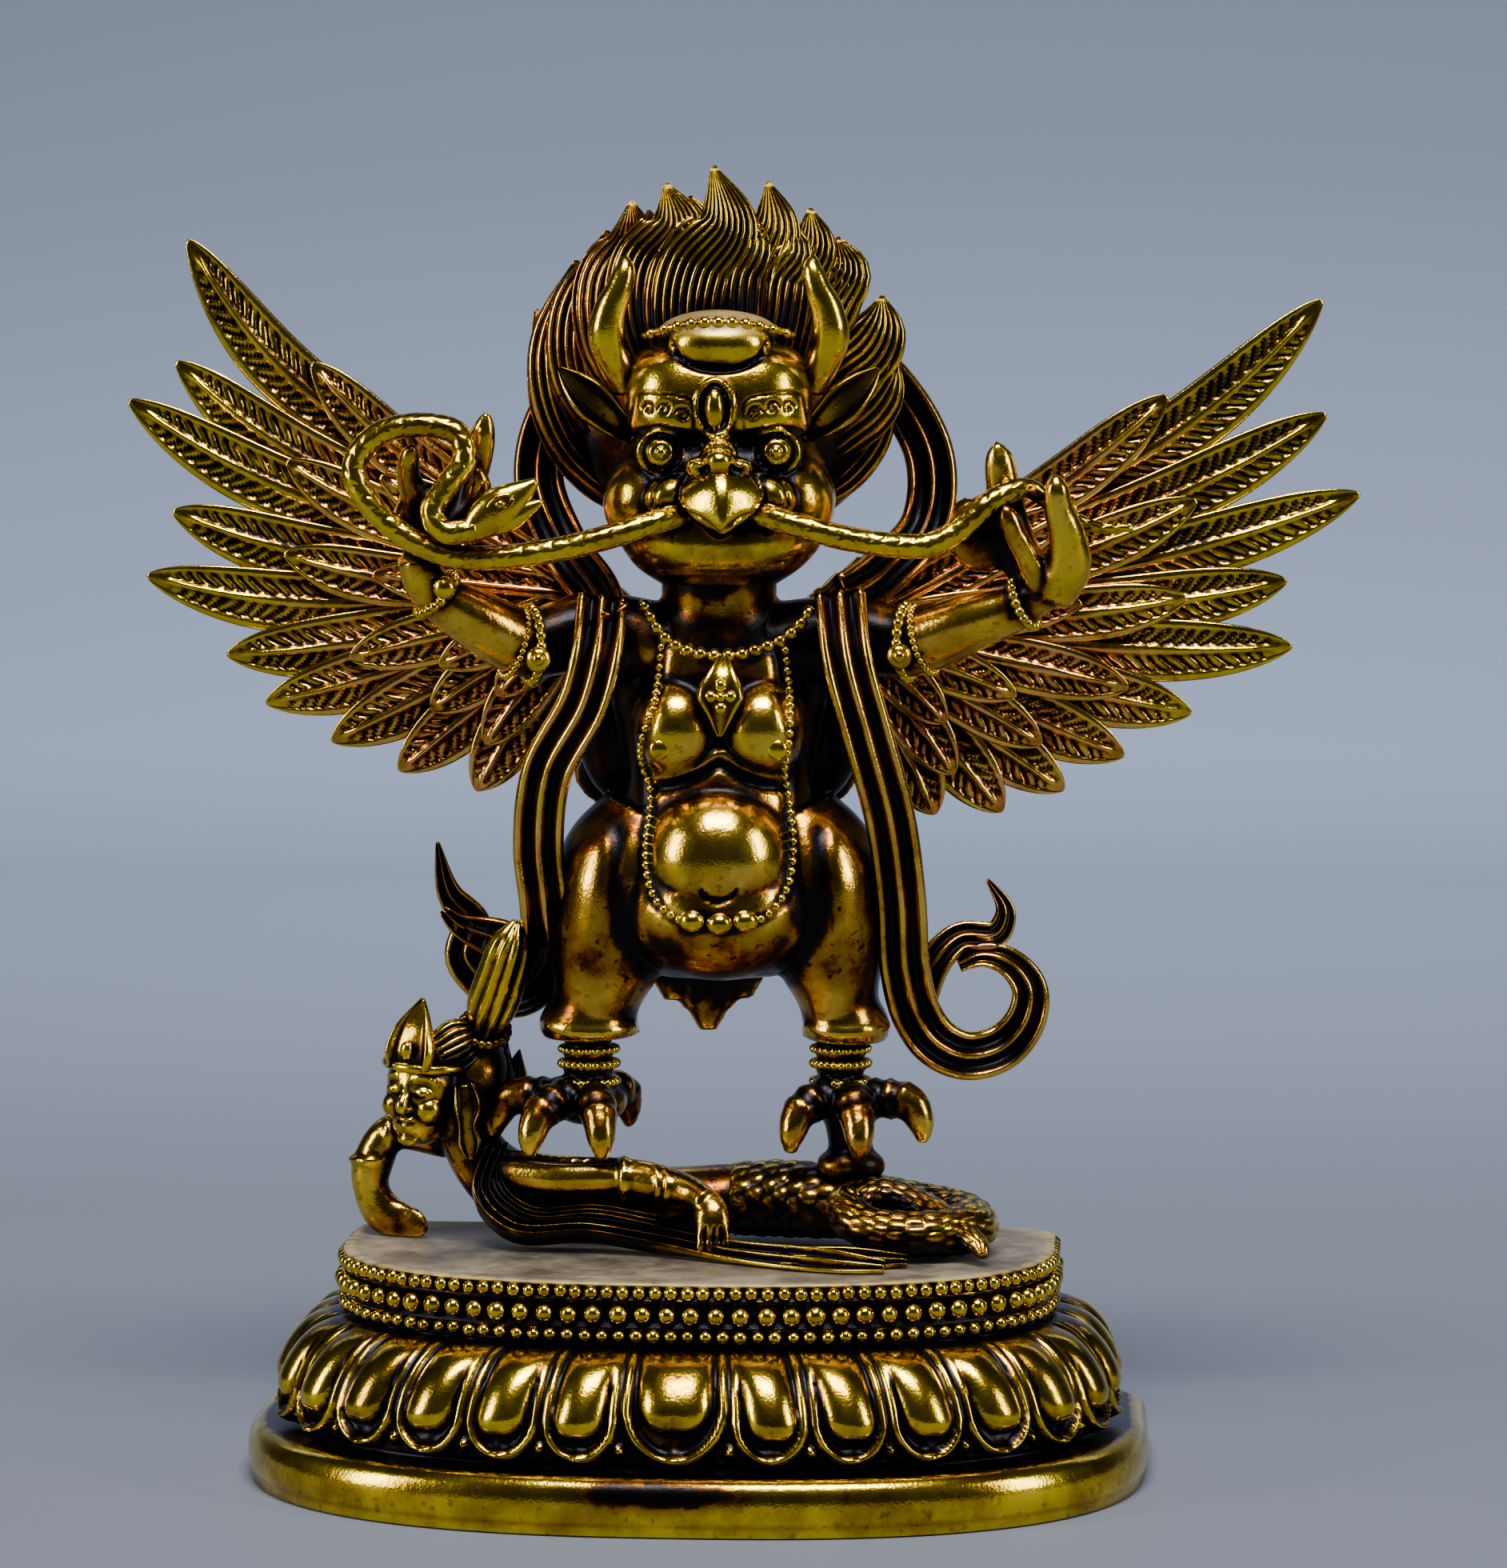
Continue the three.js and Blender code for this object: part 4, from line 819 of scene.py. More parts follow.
# %% Torso, legs and feet
def toe(x, tip, bulge=1.0):
    """One toe with its claw, from the ball of the foot."""
    tx, ty, tz = tip
    return sweep((
        (x, -0.5, 18.6, 2.5), (x * 0.5 + tx * 0.5, ty * 0.45 - 0.4, 18.8, 2.6 * bulge),
        (x * 0.16 + tx * 0.84, ty * 0.82, tz + 5.2, 2.3 * bulge), (x * 0.02 + tx * 0.98, ty, tz + 2.2, 1.7),
        (tx, ty * 1.02, tz, 0.7),
    ), pitch=0.6, relief=lambda run, around, wide: 0.3 * np.cos(run * 2 * np.pi / 2.0) * (run < 8))


FEET = ((-17.2, ((-24.6, -7.0, 11.9), (-15.2, -9.4, 11.9), (-29.6, 1.0, 13.2), (-12.0, 6.0, 14.0))),
        (16.6, ((9.3, -6.0, 12.2), (18.2, -9.6, 11.8), (26.6, -3.4, 13.2), (17.6, 7.0, 13.0))))


def leg_forms():
    left = ((-8.4, 1, 55, 7.4, 8.4), (-11.8, 0.4, 49.0, 9.2, 10.4), (-13.6, 0, 42.5, 8.6, 9.8),
            (-15.2, 0, 36, 7.2, 8.2), (-16.4, 0, 31, 5.8, 6.8), (-17.0, 0, 27.8, 6.7, 6.8),
            (-17.0, 0, 26.8, 5.9, 6.0))
    right = ((8.4, 1, 55, 7.4, 8.4), (11.8, 0.4, 49.0, 9.2, 10.4), (13.4, 0, 42.5, 8.4, 9.8),
             (14.8, 0, 36, 6.8, 8.0), (15.8, 0, 31, 5.2, 6.4), (16.6, 0, 27.4, 5.8, 6.4),
             (16.6, 0, 26.3, 5.0, 5.6))
    forms = [sweep(left, round_section(40)), sweep(right, round_section(40))]
    for x in (-17.2, 15.9):
        forms.append(upright(((17, x, 0, 3.5, 3.5), (19.4, x, 0, 3.2, 3.2), (23, x, 0, 3.0, 3.0),
                              (29, x, 0, 3.1, 3.1))))
        for z in (20.4, 22.9, 24.8):
            forms.append(lump(x, 0, z, 3.75, 3.75, 0.62))
    for x, tips in FEET:
        forms.append(lump(x, -0.5, 18.3, 5.2, 5.3, 3.1))
        forms += [toe(x, tip) for tip in tips]
    forms.append(lump(17.2, -1.8, 10.0, 4.6, 3.6, 2.6))
    forms.append(upright(((9.4, 17.2, -1.5, 3.4, 3.2), (12, 17.2, -1.0, 2.9, 2.9),
                          (16.5, 17, -0.5, 3.4, 3.4))))
    return forms


def torso_forms():
    torso = ((35.0, 0, 2, 9, 8), (37, 0, 1, 13.6, 11), (39.5, 0, 0.4, 16.0, 12.2), (44, 0, 0, 17.4, 12.6),
             (49, 0, 0, 16.8, 12.2), (53.5, 0, 0.2, 14.8, 11.0), (57.5, 0, 0.4, 12.6, 9.8),
             (61, 0, 0.6, 11.9, 9.4), (66, 0, 1, 12.6, 9.2), (71, 0, 1.2, 13.4, 9.2),
             (75.5, 0, 1.4, 13.2, 8.8), (79, 0, 1.4, 10.8, 8.0), (81.6, 0, 1.0, 8.0, 7.2),
             (86, 0, 0.4, 7.5, 7.0), (91, 0, 0, 7.6, 7))
    forms = [
        upright(torso, 64),
        lump(-0.2, -6.0, 50.6, 9.8, 8.6, 9.6),
        lump(0, -4.2, 44.0, 12.4, 9.8, 9.4),
        lump(0, 1.2, 40.0, 12.8, 10.2, 5.0),
        lump(-0.5, 9.6, 61, 19, 2.6, 8),
        lump(-0.5, 9.8, 53, 12, 3.0, 12),
    ]
    for sign in (-1, 1):
        forms.append(lump(sign * 5.5, -4.9, 67.4, 5.7, 5.9, 6.5))
        forms.append(lump(sign * 13.4, 5.2, 68.5, 5.6, 4.2, 11.0))
        forms.append(lump(sign * 13.0, 0.6, 77.8, 6.4, 6.2, 5.6))
    for x, low, wide in ((-1.6, 26.4, 2.6), (-6.2, 30.4, 2.8), (3.0, 30.6, 2.8), (-3.9, 29.2, 2.2),
                         (0.8, 29.4, 2.2)):
        forms.append(sweep(((x, 9.0, 40, wide * 1.4, 2.4), (x, 10.4, 35, wide * 1.2, 2.2),
                            (x, 10.2, low + 2.6, wide, 1.6), (x, 9.8, low, wide * 0.45, 0.7))))
    return forms


# %% Arms and hands
LEFT_ARM = ((-8, 1, 77.5, 6.4), (-17, -0.5, 80, 5.0), (-24.5, -3, 78.4, 4.5), (-31, -6.4, 81.4, 4.0),
            (-37.6, -9.4, 86.4, 2.8), (-38.6, -10.4, 90.0, 2.6))
RIGHT_ARM = ((8, 1, 77.5, 6.4), (17, -0.5, 79.4, 5.2), (24.5, -3, 78.6, 4.6), (32, -6.4, 81.2, 4.0),
             (39.5, -9.0, 84.0, 2.9), (42.5, -10.2, 86.4, 2.7))


def arm_forms():
    forms = [sweep(LEFT_ARM, pitch=0.8), sweep(RIGHT_ARM, pitch=0.8)]
    # The left hand holds the snake from behind: a cupped palm, a finger raised and one inside the loop.
    forms += [
        lump(-37.4, -9.2, 94.4, 4.4, 2.4, 5.0, tilt=10),
        sweep(((-36.2, -9.0, 94, 2.8, 2.2), (-32.8, -9.2, 98.4, 2.6, 2.0), (-30.8, -9.6, 102.8, 2.0, 1.6),
               (-29.9, -10.2, 106.4, 1.4, 1.2), (-29.6, -10.6, 108.2, 0.5, 0.5))),
        sweep(((-38.4, -9.4, 96, 2.0, 1.8), (-39.6, -10.4, 100, 1.6, 1.5), (-39.2, -12.4, 103.0, 1.25, 1.2),
               (-38.6, -13.2, 104.0, 0.4, 0.4))),
        sweep(((-34.8, -9.4, 93, 2.2, 2.0), (-31.4, -10.6, 96.4, 1.9, 1.7), (-30.4, -12.4, 99.4, 1.4, 1.3),
               (-30.8, -13.4, 101.2, 0.4, 0.4))),
    ]
    # The right hand grips it: a broad thumb in front, a finger bent under, and fingertips behind.
    forms += [
        sweep(((42.6, -10.4, 85.0, 3.0, 2.6), (44.6, -12.0, 88.6, 3.0, 2.6),
               (44.4, -13.4, 92.4, 2.4, 2.2), (43.2, -14.6, 96.0, 1.9, 1.8),
               (42.8, -15.4, 99.0, 1.5, 1.4), (42.7, -15.6, 100.4, 0.4, 0.4))),
        sweep(((41.4, -10.6, 85.6, 2.1, 2.0), (39.6, -12.0, 89.4, 1.7, 1.6), (37.8, -13.2, 92.6, 1.5, 1.4),
               (36.6, -13.8, 95.4, 1.2, 1.1), (36.2, -14.0, 96.6, 0.4, 0.4))),
        sweep(((40.0, -9.0, 87, 2.8, 2.2), (37.6, -8.6, 93, 2.6, 2.2), (36.4, -8.6, 99, 2.2, 1.8),
               (35.8, -9.2, 103.0, 1.6, 1.4), (35.6, -9.8, 104.4, 0.4, 0.4))),
        lump(34.6, -8.4, 92.6, 5.4, 2.6, 4.8, tilt=-20),
    ]
    return forms


BODY_VOXEL = 0.5
BREAST_FOLD = ((-8.8, 61.2), (-5.6, 61.8), (-2.6, 62.9), (0.1, 64.4), (2.8, 62.9), (5.6, 61.8), (8.6, 61.4))
NAVEL = ((-2.3, 47.2), (-1.4, 46.3), (0.0, 45.9), (1.4, 46.3), (2.3, 47.2))
CHAIN = ((-7.5, 78.0), (-7.8, 74.4), (-8.5, 70.3), (-9.9, 66.1), (-9.8, 62.5), (-8.9, 60.0), (-8.9, 56.9),
         (-9.4, 52.8), (-9.2, 48.8), (-7.8, 45.4), (-5.6, 43.7), (-3.9, 42.9))


def body_marks():
    """The fold under the breast, the navel, the bed of the chain, the groin and the hems."""
    under = [(x, z - 1.5) for x, z in BREAST_FOLD]
    marks = [(BREAST_FOLD, 0.6, 0.6, -6), (under, 0.6, -0.6, -6), (NAVEL, 0.3, -0.55, -9)]
    for sign in (-1, 1):
        marks += [
            ([(-sign * x, z) for x, z in CHAIN], 0.7, -0.3, -4),
            (((sign * 13.0, 54.0), (sign * 13.4, 47.0), (sign * 12.0, 40.5), (sign * 8.6, 36.8)), 1.3,
             -0.45, 4),
            (((sign * 11.4, 28.4), (sign * 16.8, 27.9), (sign * 22.0, 28.6)), 0.8, 0.45, 2),
        ]
    return marks


body_skin = engraved(fuse(torso_forms() + leg_forms() + arm_forms(), BODY_VOXEL, 2), body_marks())
castings["garuda_body"] = [body_skin]
print("body triangles:", len(body_skin[1]))

# %% Beads, armlets and the pendant
NECKLACE = ((-9.7, 83.2), (-8.0, 80.4), (-6.3, 78.7), (-3.9, 77.6), (-1.6, 77.1), (0.6, 77.0),
            (2.6, 77.1), (5.3, 77.9), (7.6, 78.7), (10.0, 80.4), (11.6, 82.4))
CHAIN_RIGHT = ((8.6, 77.6), (9.0, 73.3), (9.2, 69.2), (8.9, 65.1), (8.4, 62.0), (8.9, 58.9), (9.4, 55.8),
               (9.6, 51.7), (8.9, 47.6), (6.9, 44.5), (4.3, 42.9))


def bead_ring(centre, axis, wide, deep, radius, count):
    """A ring of beads round a limb that runs along the axis."""
    axis = unit(np.array(axis, float))
    side = unit(np.cross(axis, UP)) if abs(axis[2]) < 0.9 else np.array([1.0, 0, 0])
    over = np.cross(axis, side)
    turn = 2 * np.pi * np.arange(count) / count
    spots = np.array(centre) + wide * np.cos(turn)[:, None] * side + deep * np.sin(turn)[:, None] * over
    return beads(spots, [radius] * count)


def jewellery():
    at = surface_finder(*body_skin)
    made = [
        bead_string(NECKLACE, at, 1.85, 0.98),
        bead_string(CHAIN, at, 1.3, 0.62),
        bead_string(CHAIN_RIGHT, at, 1.3, 0.62),
    ]
    for x, z in ((-3.4, 43.3), (0.1, 43.0), (3.4, 43.3)):
        made.append(lump(x, at(x, z)[1] + 0.2, z, 1.75, 1.4, 1.45, FINE_BALL))
    for x, z in ((-7.6, 65.1), (7.5, 65.1)):
        made.append(lump(x, at(x, z)[1], z, 1.35, 0.55, 1.35, FINE_BALL))
    plate = ((0.6, at(0.6, 76.6)[1] - 0.6, 77.0, 0.5, 0.5), (0.4, -9.6, 74.6, 1.9, 0.8),
             (0.2, -10.4, 71.9, 3.0, 0.9), (0.2, -10.4, 69.4, 1.7, 0.8), (0.1, -10.2, 66.8, 0.3, 0.4))
    made.append(sweep(plate, (np.array([-1, -0.8, -0.62, 0, 0.62, 0.8, 1, 0.6, -0.6]),
                              np.array([0.5, 1.1, 0.75, 0.8, 0.75, 1.1, 0.5, -1, -1])), pitch=0.35))
    made.append(lump(0.25, -10.9, 71.9, 0.7, 0.75, 0.7, FINE_BALL))
    for dx, dz in ((0, 1.45), (0, -1.45), (1.3, 0), (-1.3, 0)):
        made.append(lump(0.25 + dx, -10.8, 71.9 + dz, 0.82, 0.65, 0.82, FINE_BALL))
    for sign, z in ((-1, 78.2), (1, 78.6)):
        made.append(bead_ring((sign * 24.4, -3, z), (sign, -0.35, 0), 4.7, 4.7, 0.85, 22))
        made.append(bead_ring((sign * 26.6, -3.9, z + 0.3), (sign, -0.4, 0.3), 4.45, 4.45, 0.5, 30))
        made.append(lump(sign * 23.2, -7.9, z - 1.6, 1.7, 1.0, 1.7, FINE_BALL))
        made.append(lump(sign * 23.2, -8.6, z - 1.6, 0.9, 0.8, 0.9, FINE_BALL))
    made.append(bead_ring((-36.2, -8.7, 85.0), (-1, -0.5, 1.0), 3.3, 3.3, 0.75, 18))
    made.append(bead_ring((39.2, -9.0, 83.9), (1, -0.4, 0.45), 3.3, 3.3, 0.75, 18))
    made.append(lump(-35.0, -12.0, 85.9, 1.5, 1.1, 1.5, FINE_BALL))
    for x in (-17.1, 15.9):
        for z, radius in ((20.9, 0.62), (23.3, 0.62), (25.2, 0.55)):
            made.append(bead_ring((x, 0, z), (0, 0, 1), 3.6, 3.6, radius, 24))
    return joined(made)


castings["bead_jewellery"] = [jewellery()]
print("jewellery triangles:", len(castings["bead_jewellery"][0][1]))

# %% [markdown]
# ## The snake and its scales
# The snake runs from the mouth corners to both hands. A plain tube would look like wire, so small crescents
# are punched into it, and every second row of them is shifted by half. They are shallow, since the real ones
# are worn. The naga's tail has whole scales instead, each a low dome.

# %% The snake's path and its marks
SNAKE_HEAD_HALF = ((-3.2, -9.0, 95.4), (-6.4, -12.6, 94.8), (-13, -14.4, 92.7), (-20.1, -14.4, 90.9),
                   (-28.2, -14, 89.8), (-34.3, -13.6, 90.1), (-40.4, -13.4, 92.9), (-45, -13.2, 97.5),
                   (-46.3, -13, 101.5), (-43.4, -13, 105.3), (-37.8, -13.4, 106.6), (-33, -14, 105.4),
                   (-32.2, -14.6, 102), (-34.3, -15.2, 99), (-36.2, -15.8, 95.6), (-34.6, -16.2, 93.2),
                   (-30.6, -16.2, 93.4))
SNAKE_TAIL_HALF = ((3.4, -9.0, 95.6), (6.2, -12.6, 95.1), (10.4, -14.2, 93.8), (15.5, -14.4, 92.4),
                   (21.6, -14.2, 91.4), (26.7, -14, 91.4), (30.7, -13.6, 93.4), (34.8, -13.2, 96.9),
                   (39.3, -12, 98.6), (43.4, -10.4, 95.9), (48, -9.4, 93.7), (53.1, -9, 93.5))
SNAKE_RADIUS, SNAKE_STEP = 1.6, 0.32
PUNCH_ROW, PUNCH_COUNT, PUNCH_DEPTH = 1.9, 5, 0.13


def snake_scales(run, around, wide):
    """Small crescents, cut with a round punch in shifted rows."""
    row = np.floor(run / PUNCH_ROW)
    along = run - (row + 0.5) * PUNCH_ROW
    place = around / (2 * np.pi) * PUNCH_COUNT + 0.5 * (row % 2) + 0.17 * np.sin(row * 2.4)
    aside = (place % 1 - 0.5) * 2.0
    crescent = np.exp(-(((np.hypot(along, aside) - 0.5) / 0.2) ** 2))
    return -PUNCH_DEPTH * crescent * smooth_step(along, -0.35, 0.2)


def snake():
    thin = np.interp(np.arange(12), (0, 7, 11), (1, 1, 0.35))
    made = [
        sweep([(*p, SNAKE_RADIUS) for p in SNAKE_HEAD_HALF], round_section(42), SNAKE_STEP,
              relief=snake_scales),
        sweep([(*p, SNAKE_RADIUS * t) for p, t in zip(SNAKE_TAIL_HALF, thin)], round_section(42),
              SNAKE_STEP, relief=snake_scales),
        sweep(((-31.4, -16.2, 93.1, 1.6, 1.3), (-29.6, -16.4, 94.6, 2.4, 1.5),
               (-27.4, -16.5, 96.3, 2.6, 1.6), (-25.0, -16.3, 98.0, 1.7, 1.2),
               (-23.0, -16.1, 99.5, 0.5, 0.5)), round_section(40), 0.3),
        sweep(((-29.4, -16.2, 93.9, 1.6, 1.2), (-26.4, -16.3, 94.9, 1.7, 1.1),
               (-23.8, -16.1, 96.2, 1.0, 0.8), (-22.2, -16.0, 97.0, 0.3, 0.3)), round_section(30), 0.4),
        sweep([(-27.5 + 1.5 * math.cos(a) - 0.3 * math.sin(a), -17.85 + 0.25 * abs(math.cos(a)),
                96.6 + 0.8 * math.cos(a) + 0.8 * math.sin(a), 0.36)
               for a in np.linspace(0, 2 * np.pi, 13)], pitch=0.2),
        lump(-27.5, -17.9, 96.6, 0.75, 0.6, 0.6, FINE_BALL),
    ]
    return joined(made)


castings["snake"] = [snake()]

# %% [markdown]
# ## The scarf
# A long scarf hangs from behind the head over both arms and ends in flame-shaped curls. In cast brass it is
# a thick band with three ridges, not a thin sheet. So it is a loft like the locks, with the ridges as waves
# in its outline.

# %% Ribbons with three ridges
RIBBON_ACROSS = np.linspace(-1, 1, 37)
RIBBON_BACK = np.linspace(0.9, -0.9, 13)
RIBBON = (
    np.concatenate([RIBBON_ACROSS, RIBBON_BACK]),
    np.concatenate([0.1 + 1.0 * (0.5 + 0.5 * np.cos(2.5 * np.pi * RIBBON_ACROSS)) ** 1.05,
                    -0.9 * (1 - 0.5 * RIBBON_BACK**2)]),
)
RIBBON_WIDTH, RIBBON_DEPTH, RIBBON_STEP = 3.3, 1.05, 0.7
SCARF_RUNS = (
    ((-12, 10, 117), (-21.5, 11, 109), (-23.9, 10, 100), (-20.6, 7, 91), (-16.4, 1, 85.5),
     (-14.6, -6.4, 81.6)),
    ((-15.0, -4.5, 84.4), (-15.8, -7.8, 77), (-17.6, -7.8, 70.6), (-22.2, -6.4, 62), (-23.4, -5, 52.4),
     (-22.6, -4, 44), (-22.8, 3, 36, 1.1), (-28, 9, 31.5, 1.0), (-33.6, 9.6, 36, 0.9),
     (-33, 9.6, 40.5, 0.8), (-36, 9, 45, 0.5), (-37.4, 8, 51.6, 0.1)),
    ((12, 10, 119), (21.5, 11, 113), (27.6, 10, 103), (27.2, 8, 94), (22.0, 3, 88), (16.6, -4, 84.4)),
    ((15.6, -4.5, 85), (16.6, -7.8, 76.4), (19.4, -7.4, 66), (22.2, -6, 55.5), (23.6, -5, 45),
     (24.2, -3, 36), (26.0, 0, 29.4), (28.6, 1, 25.8), (32.6, 2, 24.0, 0.98), (37.2, 3, 25.0, 0.93),
     (40.3, 3, 28.6, 0.82), (40.8, 3, 32.8, 0.72), (38.2, 3, 36.2, 0.6), (34.6, 3, 37.2, 0.48),
     (31.4, 3, 36.0, 0.35)),
    ((25.8, 1, 30, 0.7), (28.0, 2, 36, 0.7), (31.6, 3, 39.6, 0.6), (36.4, 3, 40.0, 0.55),
     (37.6, 3, 43.0, 0.4), (35.2, 3, 47.2, 0.08)),
    ((-24.0, 9, 36, 1.0), (-29.5, 9.4, 38.5, 0.9), (-34.5, 9, 40.5, 0.5), (-36.8, 8.6, 42.6, 0.2)),
)


def scarf():
    made = []
    for run in SCARF_RUNS:
        share = [point[3] if len(point) > 3 else 1.0 for point in run]
        points = [(*point[:3], RIBBON_WIDTH * s, RIBBON_DEPTH * max(s, 0.35))
                  for point, s in zip(run, share)]
        made.append(sweep(points, RIBBON, pitch=RIBBON_STEP))
    return joined(made)


castings["scarf"] = [scarf()]
print("snake and scarf triangles:", len(castings["snake"][0][1]), len(castings["scarf"][0][1]))

# %% [markdown]
# ## The naga
# The naga lies on the lotus under the garuda's feet: a human head and arms, and a scaled tail that coils to
# the front. It is a separate casting on the real piece. Its face is a plain, calm one, built on even
# proportions: lids half closed, a straight nose and a small mouth.

# %% The naga's face
FACE_CENTRE = np.array([-38.6, 2.8, 19.3])
FACE_TURN = math.radians(-26)
FACE_LEAN = math.radians(4)
NAGA_HEAD_VOXEL, NAGA_BODY_VOXEL = 0.27, 0.4


def on_face(solid):
    """From the face's own frame, x right, -y out and z up, to the figure's frame."""
    p, faces = solid
    c, s = math.cos(FACE_LEAN), math.sin(FACE_LEAN)
    p = np.column_stack([p[:, 0] * c + p[:, 2] * s, p[:, 1], -p[:, 0] * s + p[:, 2] * c])
    c, s = math.cos(FACE_TURN), math.sin(FACE_TURN)
    p = np.column_stack([p[:, 0] * c - p[:, 1] * s, p[:, 0] * s + p[:, 1] * c, p[:, 2]])
    return p + FACE_CENTRE, faces


def face_forms():
    forms = [
        lump(0, 0, 0.6, 5.2, 5.8, 7.0), lump(0, -1.2, -3.6, 3.6, 4.2, 3.6),
        sweep(((0, -5.2, 1.6, 0.5), (0, -5.9, 0.0, 0.62), (0, -6.5, -1.5, 0.85), (0, -5.9, -2.1, 0.55)),
              pitch=0.3),
        lump(0, -5.7, -1.8, 1.15, 0.8, 0.6), lump(0, -5.05, -3.3, 1.25, 0.75, 0.4),
        lump(0, -4.95, -4.05, 1.0, 0.75, 0.42),
        lump(0, -4.3, -6.0, 1.5, 1.0, 0.9),
    ]
    for sign in (-1, 1):
        forms += [
            lump(sign * 2.05, -4.95, 0.45, 1.25, 0.75, 0.72),
            lump(sign * 2.5, -3.6, -1.8, 1.8, 1.8, 1.8),
            sweep(((sign * 0.5, -5.3, 2.0, 0.3), (sign * 1.9, -5.2, 2.6, 0.34),
                   (sign * 3.7, -4.2, 2.0, 0.22)), pitch=0.3),
        ]
    return [on_face(form) for form in forms]


def naga_face_marks():
    """The half-closed lids and the mouth, seen from the front."""
    lines = []
    for sign in (-1, 1):
        lid = 0.25 - 0.45 * np.sin(np.linspace(0, np.pi, 7))
        lines.append((np.column_stack([np.linspace(0.95, 3.1, 7) * sign, np.full(7, -5.0), lid]), 0.17,
                      -0.3))
    bow = -3.7 + 0.14 * np.linspace(-1, 1, 7) ** 2
    lines.append((np.column_stack([np.linspace(-1.3, 1.3, 7), np.full(7, -5.4), bow]), 0.16, -0.35))
    return [(on_face((line, None))[0][:, [0, 2]], wide, height, 2) for line, wide, height in lines]


NAPE = [lump(-32.6, 5.4, 20.4, 5.0, 6.2, 7.0), lump(-35.6, 5.0, 19.4, 4.6, 6.0, 7.4)]
castings["naga_head"] = [engraved(fuse(face_forms() + NAPE, NAGA_HEAD_VOXEL, 2), naga_face_marks())]

# %% The naga's body
def naga_forms():
    forms = [
        lump(-33.6, 5.2, 19.0, 3.6, 5.0, 5.0),
        sweep(((-34.4, 5, 15, 3.6), (-31, 5, 9, 4.2), (-26, 4, 5.6, 6.0, 5.0), (-16, 3, 4.9, 6.2, 4.8),
               (-6, 3, 4.6, 5.4, 4.5), (2, 3, 4.8, 5.0, 4.6),
               (8, 2, 4.8, 5.0, 4.4)), round_section(36), facing=UP),
        sweep(((-36, 8, 12, 2.6), (-43.6, 7, 13, 2.5), (-46.3, 7, 8.4, 2.7), (-46.3, 6.8, 5.5, 2.4),
               (-44.8, 6.3, 2.6, 2.7, 2.0), (-42.4, 5.2, 1.4, 2.6, 1.2), (-39.6, 3.8, 0.9, 1.9, 0.8),
               (-38.6, 3.4, 0.7, 0.5, 0.4))),
        sweep(((-29, 1, 8.8, 3.1), (-21, -2.5, 8.4, 3.0), (-13, -4.5, 8.8, 2.6), (-9, -6, 8.5, 2.6),
               (-3.5, -9, 7.4, 2.1), (-1.4, -11.6, 6.6, 1.8))),
        sweep(((-1.8, -10.6, 6.8, 2.0, 1.7), (-1.0, -12.6, 5.2, 2.3, 1.3), (-0.6, -13.4, 3.0, 2.1, 1.1)),
              facing=FRONT),
    ]
    for k, reach in ((-1.5, 0.5), (-0.5, 0.0), (0.5, 0.0), (1.5, 0.4)):
        forms.append(sweep(((-0.8 + k * 0.95, -12.9, 4.4, 0.66), (-0.7 + k * 1.05, -13.8, 2.2, 0.62),
                            (-0.7 + k * 1.1, -14.2, 0.4 + reach, 0.5),
                            (-0.7 + k * 1.1, -14.3, 0.0 + reach, 0.2)), pitch=0.3))
    for x, y, z, size in ((-12.4, -4.8, 8.7, 3.15), (-43.9, 7.0, 12.9, 2.95)):
        forms.append(lump(x, y, z, 1.1, size, size))
    forms.append(lump(-46.3, 6.9, 9.6, 3.1, 3.1, 0.9))
    return forms


def naga_body():
    points, faces = fuse(naga_forms(), NAGA_BODY_VOXEL, 2)
    points[:, 2] = np.maximum(points[:, 2], -CASTING_GAP)
    arm_edges = (((-29.6, 6.6), (-21, 4.9), (-13, 5.0)), ((-29.8, 11.4), (-21.4, 11.2), (-14, 11.4)))
    marks = [(line, 0.55, -0.5, 2) for line in arm_edges]
    marks += [(((x, 5.4), (x + 0.5, 8.4), (x + 0.2, 11.2)), 0.3, 0.35, -2) for x in (-7.2, -8.4)]
    for k in range(3):
        x = -0.7 + (k - 1) * 1.05
        marks.append((((x, 3.8), (x, 1.6), (x, 0.2)), 0.2, -0.4, -11))
    return engraved((points, faces), marks)


castings["naga_body"] = [naga_body()]
print("naga triangles:", len(castings["naga_body"][0][1]))

# %% The scaled tail
TAIL_BODY = ((2, 3, 4.8, 5.2, 4.6), (9, 2, 5.0, 5.8, 4.9), (16, 0, 4.7, 5.2, 4.5),
             (25, -1, 3.9, 4.4, 3.7), (31.5, -5, 3.5, 3.9, 3.3), (32, -11, 3.2, 3.5, 3.0),
             (26, -14, 3.0, 3.1, 2.8), (19, -12.5, 3.6, 2.9, 2.6), (16.5, -8.5, 5.6, 2.7, 2.6),
             (21, -6, 6.8, 2.5, 2.2), (26, -8, 5.8, 2.1, 1.8), (30, -13, 4.2, 1.8, 1.5),
             (33.2, -17, 2.0, 1.4, 1.1), (33.8, -18.6, 0.9, 0.5, 0.4))
TAIL_ROW, TAIL_SCALES, TAIL_STEP = 2.0, 11, 0.36


def tail_scales(run, around, wide):
    """Round scales in shifted rows, each a low dome that leans up to its tip."""
    height = np.zeros(np.broadcast(run, around).shape)
    for shift in (-1, 0, 1):
        row = np.floor(run / TAIL_ROW) + shift
        along = (run - (row + 0.5) * TAIL_ROW) / (0.86 * TAIL_ROW)
        aside = (((around / (2 * np.pi) * TAIL_SCALES + 0.5 * (row % 2)) % 1) - 0.5) * 1.8
        dome = np.clip(1 - along**2 - aside**2, 0, 1) ** 0.5
        height = np.maximum(height, dome * (0.8 + 0.35 * along))
    return (0.75 * height - 0.35) * np.clip(wide / 4, 0.5, 1)


